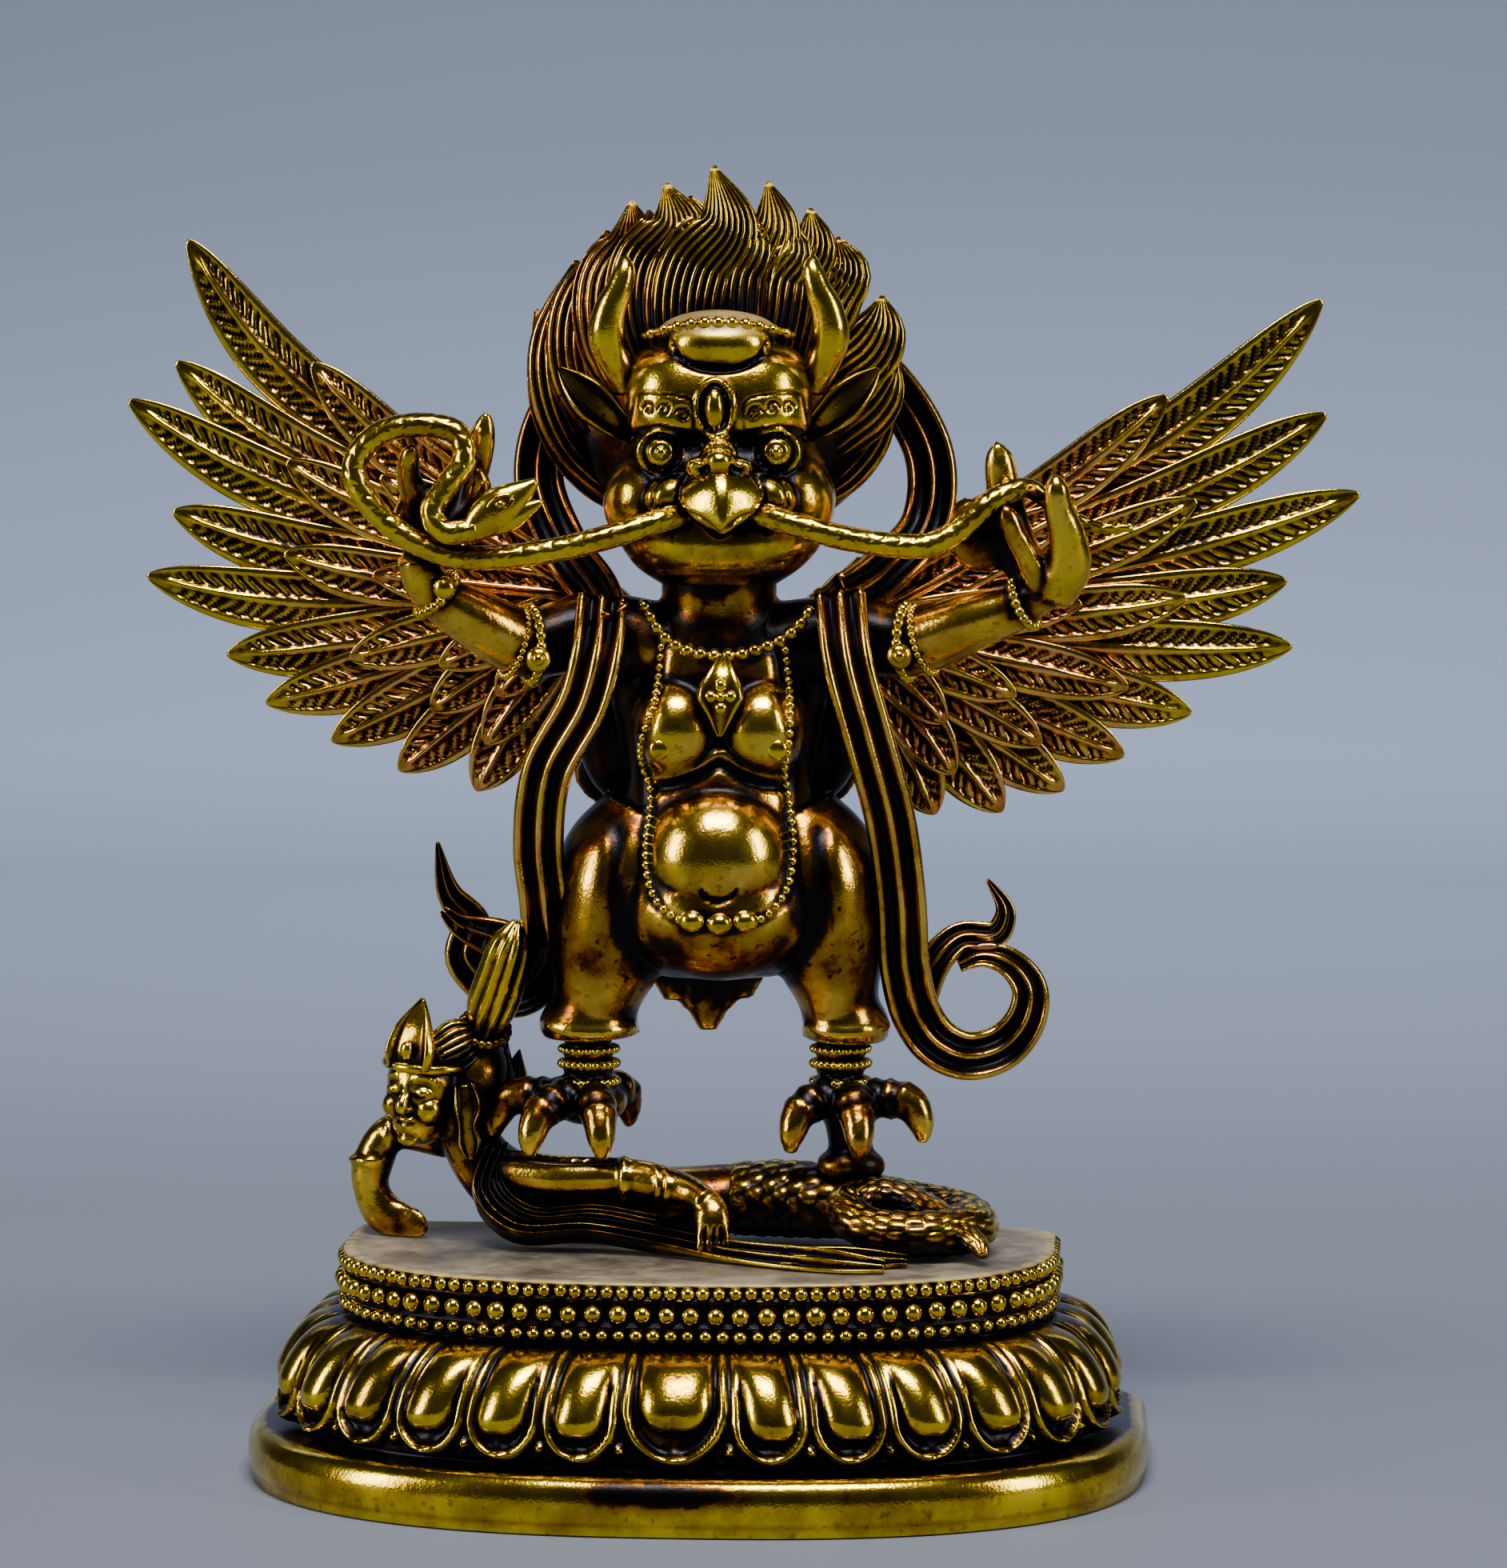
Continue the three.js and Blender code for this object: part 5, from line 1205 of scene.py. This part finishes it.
def naga_tail():
    points, faces = sweep(TAIL_BODY, round_section(72), TAIL_STEP, facing=UP, relief=tail_scales)
    points[:, 2] = np.maximum(points[:, 2], -CASTING_GAP)
    return points, faces


castings["naga_tail"] = [naga_tail()]

# %% The naga's hair, crown, earring and scarf
TOPKNOT = ((-32.4, 5, 25, 3.4), (-30.8, 1.6, 28.2, 2.4), (-30.0, 0.4, 30.4, 3.0), (-28.4, -1, 35, 3.0),
           (-27.0, -2, 39.4, 2.5), (-26.2, -2.2, 42.2, 0.7))
CROWN = ((0, -4.9, 3.4, 3.2, 1.3), (0, -4.9, 5.6, 3.7, 1.4), (0, -4.2, 8.4, 2.9, 1.2),
         (0, -3.0, 10.8, 1.4, 0.8), (0, -2.2, 12.4, 0.2, 0.4))
EARRING = ((-33.4, -1.8, 20.6, 1.3, 1.0), (-32.9, -2.4, 17.8, 1.9, 1.0), (-33.0, -2.4, 15.4, 1.2, 1.0),
           (-32.7, -2.2, 13.0, 1.5, 1.0), (-32.5, -2.0, 10.8, 0.5, 0.5))
NAGA_LOCKS = (
    ((-37.4, 25.0), (-34.0, 26.8), (-31.6, 27.6)), ((-37.0, 22.6), (-33.4, 25.0), (-31.0, 26.8)),
    ((-35.6, 19.4), (-31.6, 22.6), (-29.8, 25.8)), ((-34.0, 15.0), (-29.6, 19.0), (-28.2, 24.4)),
)
SCARF_EDGES = (
    ((-29.4, 0, 11.6, 1.2, 1.7), (-31.0, -2.6, 6, 1.3, 1.8), (-26.6, -5.9, 2, 1.3, 1.9),
     (-17, -7.6, 2.2, 1.2, 1.8), (-8, -9.6, 1.2, 1.4, 1.6), (2, -15, 0.6, 1.7, 0.9),
     (14, -21.5, 0.5, 1.9, 0.8), (21, -23.4, 0.3, 0.9, 0.5)),
    ((-28.4, 0, 12.6, 0.8, 0.9), (-29.0, -2.6, 7.4, 0.8, 0.9), (-24.6, -5.9, 4.2, 0.8, 0.9),
     (-16, -7.4, 4.6, 0.8, 0.9), (-8, -9.0, 3.4, 0.9, 0.9)),
    ((8, -18.6, 0.6, 1.4, 0.8), (17, -19.4, 0.5, 1.7, 0.8), (24, -18.8, 0.3, 0.8, 0.5)),
)


def naga_dress():
    wave = np.linspace(0, 2 * np.pi, 61)[:-1]
    ribbed = (np.cos(wave) * (1 + 0.1 * np.cos(10 * wave)), np.sin(wave) * (1 + 0.1 * np.cos(10 * wave)))
    made = [sweep(TOPKNOT, ribbed, pitch=0.4),
            on_face(sweep(CROWN, hollow_section(floor=0.35, rim=0.8), pitch=0.3))]
    band = [(5.3 * math.sin(a), -5.8 * math.cos(a) * 0.93, 3.6, 0.7, 0.8)
            for a in np.linspace(-1.5, 1.5, 11)]
    made.append(on_face(sweep(band, pitch=0.3)))
    made.append(on_face(lump(0, -6.0, 6.0, 0.9, 0.7, 1.2, FINE_BALL)))
    made.append(bead_ring((-30.9, 1.8, 27.6), (0.25, -0.75, 0.8), 3.0, 2.8, 0.75, 20))
    made.append(sweep(EARRING, hollow_section(), pitch=0.35))
    for k, line in enumerate(NAGA_LOCKS):
        made.append(lock(line, 2.6, (-1.4 + 1.2 * k, 1.0 + 1.4 * k), thick=1.8, strands=5))
        made.append(lock([(x + 1.6, z - 0.4) for x, z in line], 2.8, (5.0 + k, 5.0 + k), thick=3.2,
                         strands=5))
    for path in SCARF_EDGES:
        made.append(sweep(path, RIBBON, pitch=0.45, facing=unit(np.array([0, -1, 0.9]))))
    solids = joined(made)
    solids[0][:, 2] = np.maximum(solids[0][:, 2], -CASTING_GAP)
    return solids


castings["naga_dress"] = [naga_dress()]
print("naga tail and dress triangles:", len(castings["naga_tail"][0][1]), len(castings["naga_dress"][0][1]))

# %% [markdown]
# ## Where the brass is rubbed bright, and where shade is painted
# The blackening sits in the hollows and the rubbed brass on the high places. Two measurements of the shape
# give that. One is how far a point stands above a smoothed copy of its own skin, at a small and at a larger
# scale. The other is how shut in it is: rays go out from it, and the nearer they end, the darker it is
# painted. That darkening is painted shade, as well as the blackening that no rubbing reaches.
# Ray casting at every point would be slow, so it is done at some and shared with their neighbours.

# %% All pieces in the plinth's frame
ON_PLINTH_ALREADY = ("lotus_petals", "bead_rows")
skins = {}
for piece_name, solids in castings.items():
    points, triangles = joined(solids)
    skins[piece_name] = (points if piece_name in ON_PLINTH_ALREADY else on_plinth(points), triangles)
    print(f"{piece_name}: {len(triangles)} triangles, z {skins[piece_name][0][:, 2].min():.1f} to "
          f"{skins[piece_name][0][:, 2].max():.1f} mm")

# %% Height above the smoothed skin
def raised(points, triangles, normals, reach):
    """How far each point stands above its surroundings, in mm, for surroundings as wide as the reach."""
    edges = edges_of(triangles)
    length = np.linalg.norm(points[edges[:, 0]] - points[edges[:, 1]], axis=1).mean()
    smooth = points
    for _ in range(int(np.clip((reach / length) ** 2, 2, 60))):
        smooth = averaged(smooth, edges)
    return np.einsum("ij,ij->i", points - smooth, normals)


# %% How shut in a point is, for the painted shade
RAYS, RAY_REACH, RAY_START = 16, 26.0, 0.35
golden = np.pi * (1 + 5**0.5) * (np.arange(RAYS) + 0.5)
level = 1 - 2 * (np.arange(RAYS) + 0.5) / RAYS
SPHERE = np.column_stack([np.cos(golden) * np.sqrt(1 - level**2), np.sin(golden) * np.sqrt(1 - level**2),
                          level])
every_skin = joined(list(skins.values()))
obstacles = BVHTree.FromPolygons(every_skin[0].tolist(), every_skin[1].tolist())


# The ray-cast occlusion here is painted into the colour as shade, and also marks where patina stays.
def occlusion_shade(points, triangles, normals, samples=5000):
    """0 for an open place and 1 for one with walls all round it."""
    picked = np.arange(0, len(points), max(len(points) // samples, 1))
    ways = unit(normals[picked, None] * 1.02 + SPHERE[None])
    starts = points[picked] + normals[picked] * RAY_START
    tree = KDTree(len(picked))
    values = np.zeros(len(picked))
    for k, (start, rays) in enumerate(zip(starts, ways)):
        near = 0.0
        for way in rays:
            gap = obstacles.ray_cast(start, way, RAY_REACH)[3]
            if gap is not None:
                near += (1 - gap / RAY_REACH) ** 1.5
        values[k] = near / RAYS
        tree.insert(points[picked[k]], k)
    tree.balance()
    shared = values[[tree.find(point)[1] for point in points]]
    edges = edges_of(triangles)
    for _ in range(5):
        shared = averaged(shared, edges)
    return shared


# %% The finish and painted shade of each point
# Places that hands never rub stay black: the sides of the body, the shoulders and the folds between belly
# and thighs. Each is x, z, half width, half height in the figure's frame, and how much duller it is.
UNRUBBED = {
    "garuda_body": (
        (-12.5, 68, 3.4, 11, 0.5), (12.5, 68, 3.4, 11, 0.5), (-18, 79, 6, 5, 0.42), (18, 79, 6, 5, 0.42),
        (-13.2, 46, 2.8, 10, 0.52), (13.0, 46, 2.8, 10, 0.52), (-16, 55, 6.5, 3.6, 0.45),
        (15, 55, 5.5, 3.2, 0.4),
        (-22.0, 44, 2.2, 12, 0.42), (-17, 37.2, 5, 2.4, 0.42), (16.5, 37.5, 5, 4.8, 0.46),
        (0, 38.6, 11, 3.4, 0.4), (-7.2, 86, 2.0, 5, 0.4), (7.4, 86, 2.0, 5, 0.4),
        (0, 35.5, 14, 3.0, 0.4), (-17.4, 20.2, 12, 4.8, 0.56), (16.4, 20.2, 12, 4.8, 0.56),
        (17, 11.6, 6, 3.4, 0.5), (0, 62.2, 9, 1.6, 0.25),
        (-18.5, 62, 4.5, 9, 0.6), (18.5, 62, 4.5, 9, 0.6),
        (-20.5, 44, 2.2, 12, 0.25), (20.5, 44, 2.2, 12, 0.25), (0, 79.5, 9, 2.2, 0.3), (0, 28, 9, 5, 0.45),
        (-36.4, 93.5, 3.6, 5.5, 0.45), (34.8, 92, 4.0, 6.0, 0.45),
    ),
    "garuda_head": (
        (-11.5, 98, 4.2, 6.5, 0.3), (11.8, 97, 3.6, 6, 0.26), (-6.5, 99.5, 2.5, 2.0, 0.2),
        (0, 88.5, 16, 1.6, 0.15), (0.4, 90.8, 4.6, 1.8, 0.34), (-9.5, 95.6, 3.4, 3.6, 0.3),
        (0, 104.6, 12, 1.0, 0.1), (-12.6, 109, 1.4, 6, 0.3), (12.6, 109, 1.4, 6, 0.3),
        (0, 120.6, 9, 2.2, 0.25),
    ),
    "horns_and_diadem": ((-16, 108, 4, 4, 0.1),),
    "flame_hair": ((-20, 100, 8, 11, 0.42), (20, 98, 8, 10, 0.4), (0, 120.5, 13, 3.6, 0.34)),
    "snake": ((-27.5, 96.6, 1.7, 1.4, 0.5),),
    "scarf": ((-22, 98, 8, 14, 0.28), (24, 98, 8, 14, 0.24), (-30, 36, 8, 8, 0.14)),
    "wing_left": ((-26, 84, 14, 22, 0.08),),
    "wing_right": ((26, 84, 14, 22, 0.08),),
    "lotus_petals": ((-1, 5.7, 9, 1.7, 0.72), (-34, 7.2, 16, 0.8, 0.3), (36, 7.2, 16, 0.8, 0.3)),
    "naga_head": ((-31.5, 21, 4, 8, 0.35),),
    "naga_body": ((-31, 13, 6, 10, 0.35), (-24, 3.6, 12, 2.6, 0.4), (-42.5, 6, 3, 6, 0.25),
                  (-2, 8, 4, 5, 0.2), (4, 6, 10, 6, 0.45)),
    "naga_tail": ((8, 6, 13, 8, 0.46), (26, 3, 10, 7, 0.34)),
    "naga_dress": ((-31, 22, 5, 7, 0.3), (-14, 1.5, 18, 3.5, 0.22), (-29.5, 7, 4, 7, 0.25)),
}

# Pieces that stick out get rubbed more: how much brighter they start, and how strongly the painted shade of a
# shut-in place darkens them.
SMALL_REACH, LARGE_REACH, PLAIN_POLISH = 0.7, 2.2, 0.68
RUBBING_AND_SHADE = {"flame_hair": (0.1, 1.15), "scarf": (-0.08, 1.3), "wing_left": (0.1, 0.75),
               "wing_right": (0.1, 0.75), "bead_jewellery": (0.1, 0.9),
               "horns_and_diadem": (0.16, 0.75), "garuda_body": (-0.05, 1.3), "bead_rows": (0.08, 1.0)}


def unrubbed(name, figure_points):
    """How much duller each point stays, from the list of places that are never rubbed."""
    dull = np.zeros(len(figure_points))
    for x, z, wide, high, amount in UNRUBBED.get(name, ()):
        away = ((figure_points[:, 0] - x) / wide) ** 2 + ((figure_points[:, 2] - z) / high) ** 2
        dull = np.maximum(dull, amount * np.exp(-(away**1.5) * 0.7))
    return dull


def finish_and_shade_of(name, points, triangles, figure_points):
    """Polish from 0, black in a hollow, to 1, rubbed bright; shut-in places are darkened further by painted
    shade.
    """
    normals = normals_of(points, triangles)
    small, large = (raised(points, triangles, normals, reach) for reach in (SMALL_REACH, LARGE_REACH))
    shut = occlusion_shade(points, triangles, normals)
    start, shade = RUBBING_AND_SHADE.get(name, (0.0, 1.3))
    polish_and_shade = PLAIN_POLISH + start + 2.8 * np.clip(small, -0.25, 0.12) + 1.0 * np.clip(large, -0.45, 0.3)
    # Painted shade: the more shut in a place is, the darker its colour, on top of the patina kept there.
    polish_and_shade -= shade * np.clip(shut - 0.06, 0, 1)
    return np.clip(polish_and_shade - unrubbed(name, figure_points), 0, 1), shut


def copper_of(name, points):
    """Where a reddish brass shows: the inner feathers and the sides of the hair."""
    if name.startswith("wing"):
        middle = np.abs(points[:, 0] - FIGURE_OFFSET)
        return smooth_step(middle, 70, 34)
    if name == "flame_hair":
        return 0.55 * smooth_step(points[:, 0], 2, -16) + 0.12
    if name in ("naga_body", "scarf", "garuda_body"):
        return np.full(len(points), 0.55 if name == "scarf" else 0.3)
    return np.full(len(points), 0.05)


def dust_of(name, points):
    """Dry dust that lies on the lotus and on top of the head."""
    if name == "lotus_petals":
        return smooth_step(points[:, 2], PLINTH_TOP - 0.5, PLINTH_TOP - 0.15)
    if name == "garuda_head":
        return 0.75 * smooth_step(points[:, 2] - PLINTH_TOP, 117.5, 119.6)
    return np.zeros(len(points))


finishes_and_shade = {}
for piece_name, (points, triangles) in skins.items():
    polish_and_shade, shut = finish_and_shade_of(piece_name, points, triangles, joined(castings[piece_name])[0])
    finishes_and_shade[piece_name] = {"polish_and_shade": polish_and_shade, "copper": copper_of(piece_name, points),
                            "dust": dust_of(piece_name, points)}
    print(f"{piece_name}: mean polish {polish_and_shade.mean():.2f}, mean shut in {shut.mean():.2f}")

# %% [markdown]
# ## Cast brass with a dark patina
# The metal is cast brass, blackened with a sulphur patina and rubbed back. Rubbed brass is a smooth metal, so
# it mirrors the soft lights; the patina is a thin dull crust. One material carries both, and the polish value
# of the skin, which also holds painted shade in shut-in places, slides between them. Noise moves the border
# about, as a real rubbing does, and its scale is a few millimetres, the width of a fingertip's reach into the
# relief.

# %% Colours and nodes
def linear(code):
    """An sRGB hex colour as linear red, green, blue and alpha."""
    parts = [int(code[k:k + 2], 16) / 255 for k in (1, 3, 5)]
    return tuple(p / 12.92 if p <= 0.04045 else ((p + 0.055) / 1.055) ** 2.4 for p in parts) + (1.0,)


def node(tree, kind, inputs=None, **settings):
    """Adds a node, sets its properties, and sets or links its inputs."""
    made = tree.nodes.new("ShaderNode" + kind)
    for key, value in settings.items():
        setattr(made, key, value)
    for key, value in (inputs or {}).items():
        if isinstance(value, bpy.types.NodeSocket):
            tree.links.new(value, made.inputs[key])
        else:
            made.inputs[key].default_value = value
    return made


PATINA_STEPS = (
    (0.00, "#161619"), (0.26, "#1E1A18"), (0.38, "#30200F"), (0.45, "#663A0A"), (0.52, "#8A690C"),
    (0.72, "#AF8E10"), (1.00, "#E4C427"),
)
COPPER_STEPS = (
    (0.00, "#161416"), (0.24, "#21160F"), (0.36, "#45200E"), (0.46, "#8A3F12"), (0.60, "#B86B2C"),
    (0.78, "#D08E48"), (1.00, "#E2B05A"),
)
DUST = "#857B69"
PATCH_SIZE, SPECK_SIZE, SCRATCH_SIZE = 0.0065, 0.0012, 0.00035


def ramp(tree, factor, steps):
    """A colour ramp with these steps."""
    made = node(tree, "ValToRGB", {"Fac": factor})
    stops = made.color_ramp.elements
    while len(stops) < len(steps):
        stops.new(0.5)
    for stop, (place, code) in zip(stops, steps):
        stop.position = place
        stop.color = linear(code)
    return made.outputs["Color"]


# %% The brass
def patinated_brass(name, seed):
    """Cast brass, blackened and rubbed back: bright and mirror-like when rubbed, dull and dark in hollows,
    and darker still where shade is painted into shut-in places.
    """
    material = bpy.data.materials.new(name)
    material.use_nodes = True
    tree = material.node_tree
    shader = tree.nodes["Principled BSDF"]
    place = node(tree, "TexCoord").outputs["Object"]
    place = node(tree, "Mapping", {"Vector": place, "Location": (seed, seed * 0.7, 0)}).outputs["Vector"]
    # The polish attribute also holds painted shade from shut-in places.
    polish_and_shade = node(tree, "Attribute", attribute_name="polish_and_shade").outputs["Fac"]
    copper = node(tree, "Attribute", attribute_name="copper").outputs["Fac"]
    dust = node(tree, "Attribute", attribute_name="dust").outputs["Fac"]
    patches = node(tree, "TexNoise", {"Vector": place, "Scale": 1 / PATCH_SIZE, "Detail": 6,
                                      "Roughness": 0.62})
    specks = node(tree, "TexNoise", {"Vector": place, "Scale": 1 / SPECK_SIZE, "Detail": 3,
                                     "Roughness": 0.6})
    shift = node(tree, "MapRange", {"Value": patches.outputs["Fac"], "From Min": 0.3, "From Max": 0.7,
                                    "To Min": -0.3, "To Max": 0.18})
    pits = node(tree, "MapRange", {"Value": specks.outputs["Fac"], "From Min": 0.30, "From Max": 0.42,
                                   "To Min": -0.22, "To Max": 0.0})
    sum_one = node(tree, "Math", {0: polish_and_shade, 1: shift.outputs["Result"]}, operation="ADD")
    rubbed_and_shaded = node(tree, "Math", {0: sum_one.outputs[0], 1: pits.outputs["Result"]},
                  operation="ADD").outputs[0]
    brass, coppery = ramp(tree, rubbed_and_shaded, PATINA_STEPS), ramp(tree, rubbed_and_shaded, COPPER_STEPS)
    islands = node(tree, "MapRange", {"Value": patches.outputs["Color"], "From Min": 0.42, "From Max": 0.60,
                                      "To Min": 0.4, "To Max": 1.5})
    reddish = node(tree, "Math", {0: copper, 1: islands.outputs["Result"]}, operation="MULTIPLY",
                   use_clamp=True)
    metal = node(tree, "Mix", {0: reddish.outputs[0], 6: brass, 7: coppery}, data_type="RGBA").outputs[2]
    dusty = node(tree, "MapRange", {"Value": patches.outputs["Fac"], "From Min": 0.35, "From Max": 0.62,
                                    "To Min": 0.5, "To Max": 0.95})
    powder = node(tree, "Math", {0: dust, 1: dusty.outputs["Result"]}, operation="MULTIPLY").outputs[0]
    colour = node(tree, "Mix", {0: powder, 6: metal, 7: linear(DUST)}, data_type="RGBA").outputs[2]
    gloss = node(tree, "MapRange", {"Value": rubbed_and_shaded, "From Min": 0.38, "From Max": 0.6, "To Min": 0.3,
                                    "To Max": 0.17}).outputs["Result"]
    gloss = node(tree, "Mix", {0: powder, 2: gloss, 3: 0.7}).outputs[0]
    solid = node(tree, "MapRange", {"Value": powder, "To Min": 1.0, "To Max": 0.25}).outputs["Result"]
    grain = node(tree, "TexNoise", {"Vector": place, "Scale": 1 / SCRATCH_SIZE, "Detail": 2})
    cast = node(tree, "Math", {0: grain.outputs["Fac"], 1: specks.outputs["Fac"]}, operation="ADD")
    bump = node(tree, "Bump", {"Height": cast.outputs[0], "Strength": 0.22, "Distance": 0.00012})
    for socket, value in (("Base Color", colour), ("Roughness", gloss), ("Metallic", solid),
                          ("Normal", bump.outputs[0])):
        tree.links.new(value, shader.inputs[socket])
    return material


FINISHES = {
    "plinth_brass": patinated_brass("plinth_brass", 0.31),
    "naga_brass": patinated_brass("naga_brass", 0.12),
    "garuda_brass": patinated_brass("garuda_brass", 0.53),
}
print("materials:", ", ".join(FINISHES))

# %% [markdown]
# ## The pieces
# Each skin becomes a mesh object in metres. Smooth shading with the fine relief in the mesh gives soft cast
# edges. Three of the pieces stand for the three CAD solids; the rest are parts of the same castings.

# %% Mesh objects
REPLACED = {"lotus_petals": "lotus_plinth", "naga_body": "naga_figure", "garuda_body": "garuda_figure"}


def slot_of(name):
    """The material slot that a piece takes its finish from."""
    if name in ON_PLINTH_ALREADY:
        return "plinth_brass"
    return "naga_brass" if name.startswith("naga") else "garuda_brass"


for piece_name, (points, triangles) in skins.items():
    piece = temporary_object(piece_name, points * MM, triangles)
    piece.data.polygons.foreach_set("use_smooth", [True] * len(triangles))
    for kind, values in finishes_and_shade[piece_name].items():
        attribute = piece.data.attributes.new(kind, "FLOAT", "POINT")
        attribute.data.foreach_set("value", values.astype(np.float32))
    piece.data.materials.append(FINISHES[slot_of(piece_name)])
    piece.data.update()
    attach(piece, "root")
    if piece_name in REPLACED:
        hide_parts(REPLACED[piece_name])

# %% [markdown]
# ## Studio
# The piece stands on one sheet of paper that bends up behind it. Light and shade are painted into the paper's
# colour: it is palest where it begins to rise and darker towards the front and the top. One broad soft light
# hangs above and in front, weaker ones stand at the sides, and one behind the piece shines on the paper.
# Metal shows mostly what it mirrors, so the lights are large, and the rest of the room is a dim grey.

# %% Floor and backdrop
def backdrop():
    """A sheet that lies on the table, bends, and rises behind the object."""
    near, far, half, high, bend = -1.6, 1.1, 2.6, 2.4, 0.25
    turns = np.linspace(0, np.pi / 2, 17)
    curve = [(far - bend + bend * math.sin(turn), bend - bend * math.cos(turn)) for turn in turns]
    profile = np.array([(near, 0.0), *curve, (far, high)])
    corners = np.vstack([np.column_stack([np.full(len(profile), x), profile]) for x in (-half, half)])
    count = len(profile)
    quads = [(k, k + count, k + count + 1, k + 1) for k in range(count - 1)]
    mesh = bpy.data.meshes.new("backdrop")
    mesh.from_pydata(corners.tolist(), [], quads)
    for polygon in mesh.polygons:
        polygon.use_smooth = True
    sheet = bpy.data.objects.new("backdrop", mesh)
    bpy.context.scene.collection.objects.link(sheet)
    return sheet


# Painted light and shade: the paper's colour steps, palest where the sheet begins to rise and darker towards
# the front and the top.
PAPER_PAINTED_LIGHT_STEPS = ((0.083, "#5A5F6C"), (0.222, "#606674"), (0.35, "#7A8193"), (0.667, "#939DB2"),
               (0.889, "#666D7C"))
PAPER_FIBRE, PAPER_ROUGHNESS = 0.03, 0.75
PAINTED_LIGHT_START, PAINTED_LIGHT_END = -0.2, 1.6
paper = bpy.data.materials.new("backdrop_paper")
paper.use_nodes = True
paper_tree = paper.node_tree
fibre = node(paper_tree, "TexNoise", {"Scale": 1 / PAPER_FIBRE, "Detail": 4})
paper_shader = paper_tree.nodes["Principled BSDF"]
paper_point = node(paper_tree, "TexCoord").outputs["Object"]
paper_place = node(paper_tree, "SeparateXYZ", {"Vector": paper_point})
paper_run = node(paper_tree, "Math", {0: paper_place.outputs["Y"], 1: paper_place.outputs["Z"]},
                 operation="ADD")
paper_painted_light = node(paper_tree, "MapRange", {"Value": paper_run.outputs[0], "From Min": PAINTED_LIGHT_START,
                                            "From Max": PAINTED_LIGHT_END})
paper_tree.links.new(ramp(paper_tree, paper_painted_light.outputs["Result"], PAPER_PAINTED_LIGHT_STEPS),
                     paper_shader.inputs["Base Color"])
paper_shader.inputs["Roughness"].default_value = PAPER_ROUGHNESS
paper_bump = node(paper_tree, "Bump", {"Height": fibre.outputs["Fac"], "Strength": 0.05,
                                       "Distance": 0.0005})
paper_tree.links.new(paper_bump.outputs[0], paper_shader.inputs["Normal"])
floor = backdrop()
floor.data.materials.append(paper)

# %% Lights
def soft_light(name, place, aim, size, watts, colour="#FFFFFF"):
    """A rectangular soft light that points at a place."""
    data = bpy.data.lights.new(name, "AREA")
    data.shape, data.size, data.size_y = "RECTANGLE", *size
    data.energy, data.color = watts, linear(colour)[:3]
    lamp = bpy.data.objects.new(name, data)
    way = np.array(aim) - np.array(place)
    flat = math.hypot(way[0], way[1])
    lamp.location = place
    lamp.rotation_euler = (math.atan2(flat, -way[2]), 0, math.atan2(-way[0], way[1]))
    bpy.context.scene.collection.objects.link(lamp)
    return lamp


AIM = (0, 0, 0.08)
soft_light("top_tent", (0.05, -0.42, 0.85), AIM, (0.5, 0.3), 18)
soft_light("left_tent", (-0.95, -0.5, 0.4), AIM, (0.3, 0.6), 9)
soft_light("right_tent", (1.0, -0.4, 0.45), AIM, (0.25, 0.6), 7)
soft_light("background_light", (0, 0.62, 0.62), (0, 1.0, 0.02), (1.5, 0.15), 5.5, "#DFE8FA")

ROOM_COLOUR, ROOM_STRENGTH = "#8E95A3", 0.1
world = bpy.data.worlds.new("dim_room")
world.use_nodes = True
world.node_tree.nodes["Background"].inputs["Color"].default_value = linear(ROOM_COLOUR)
world.node_tree.nodes["Background"].inputs["Strength"].default_value = ROOM_STRENGTH
bpy.context.scene.world = world

# %% Camera
LENS, SENSOR_WIDTH = 105.74, 36
CAMERA_PLACE = (0.0489, -0.598, 0.133)
CAMERA_DROP, CAMERA_TURN = 4.12, 4
camera = bpy.data.objects.new("camera", bpy.data.cameras.new("camera"))
camera.data.lens, camera.data.sensor_width = LENS, SENSOR_WIDTH
camera.location = CAMERA_PLACE
camera.rotation_euler = (math.radians(90 - CAMERA_DROP), 0, math.radians(CAMERA_TURN))
bpy.context.scene.collection.objects.link(camera)
bpy.context.scene.camera = camera
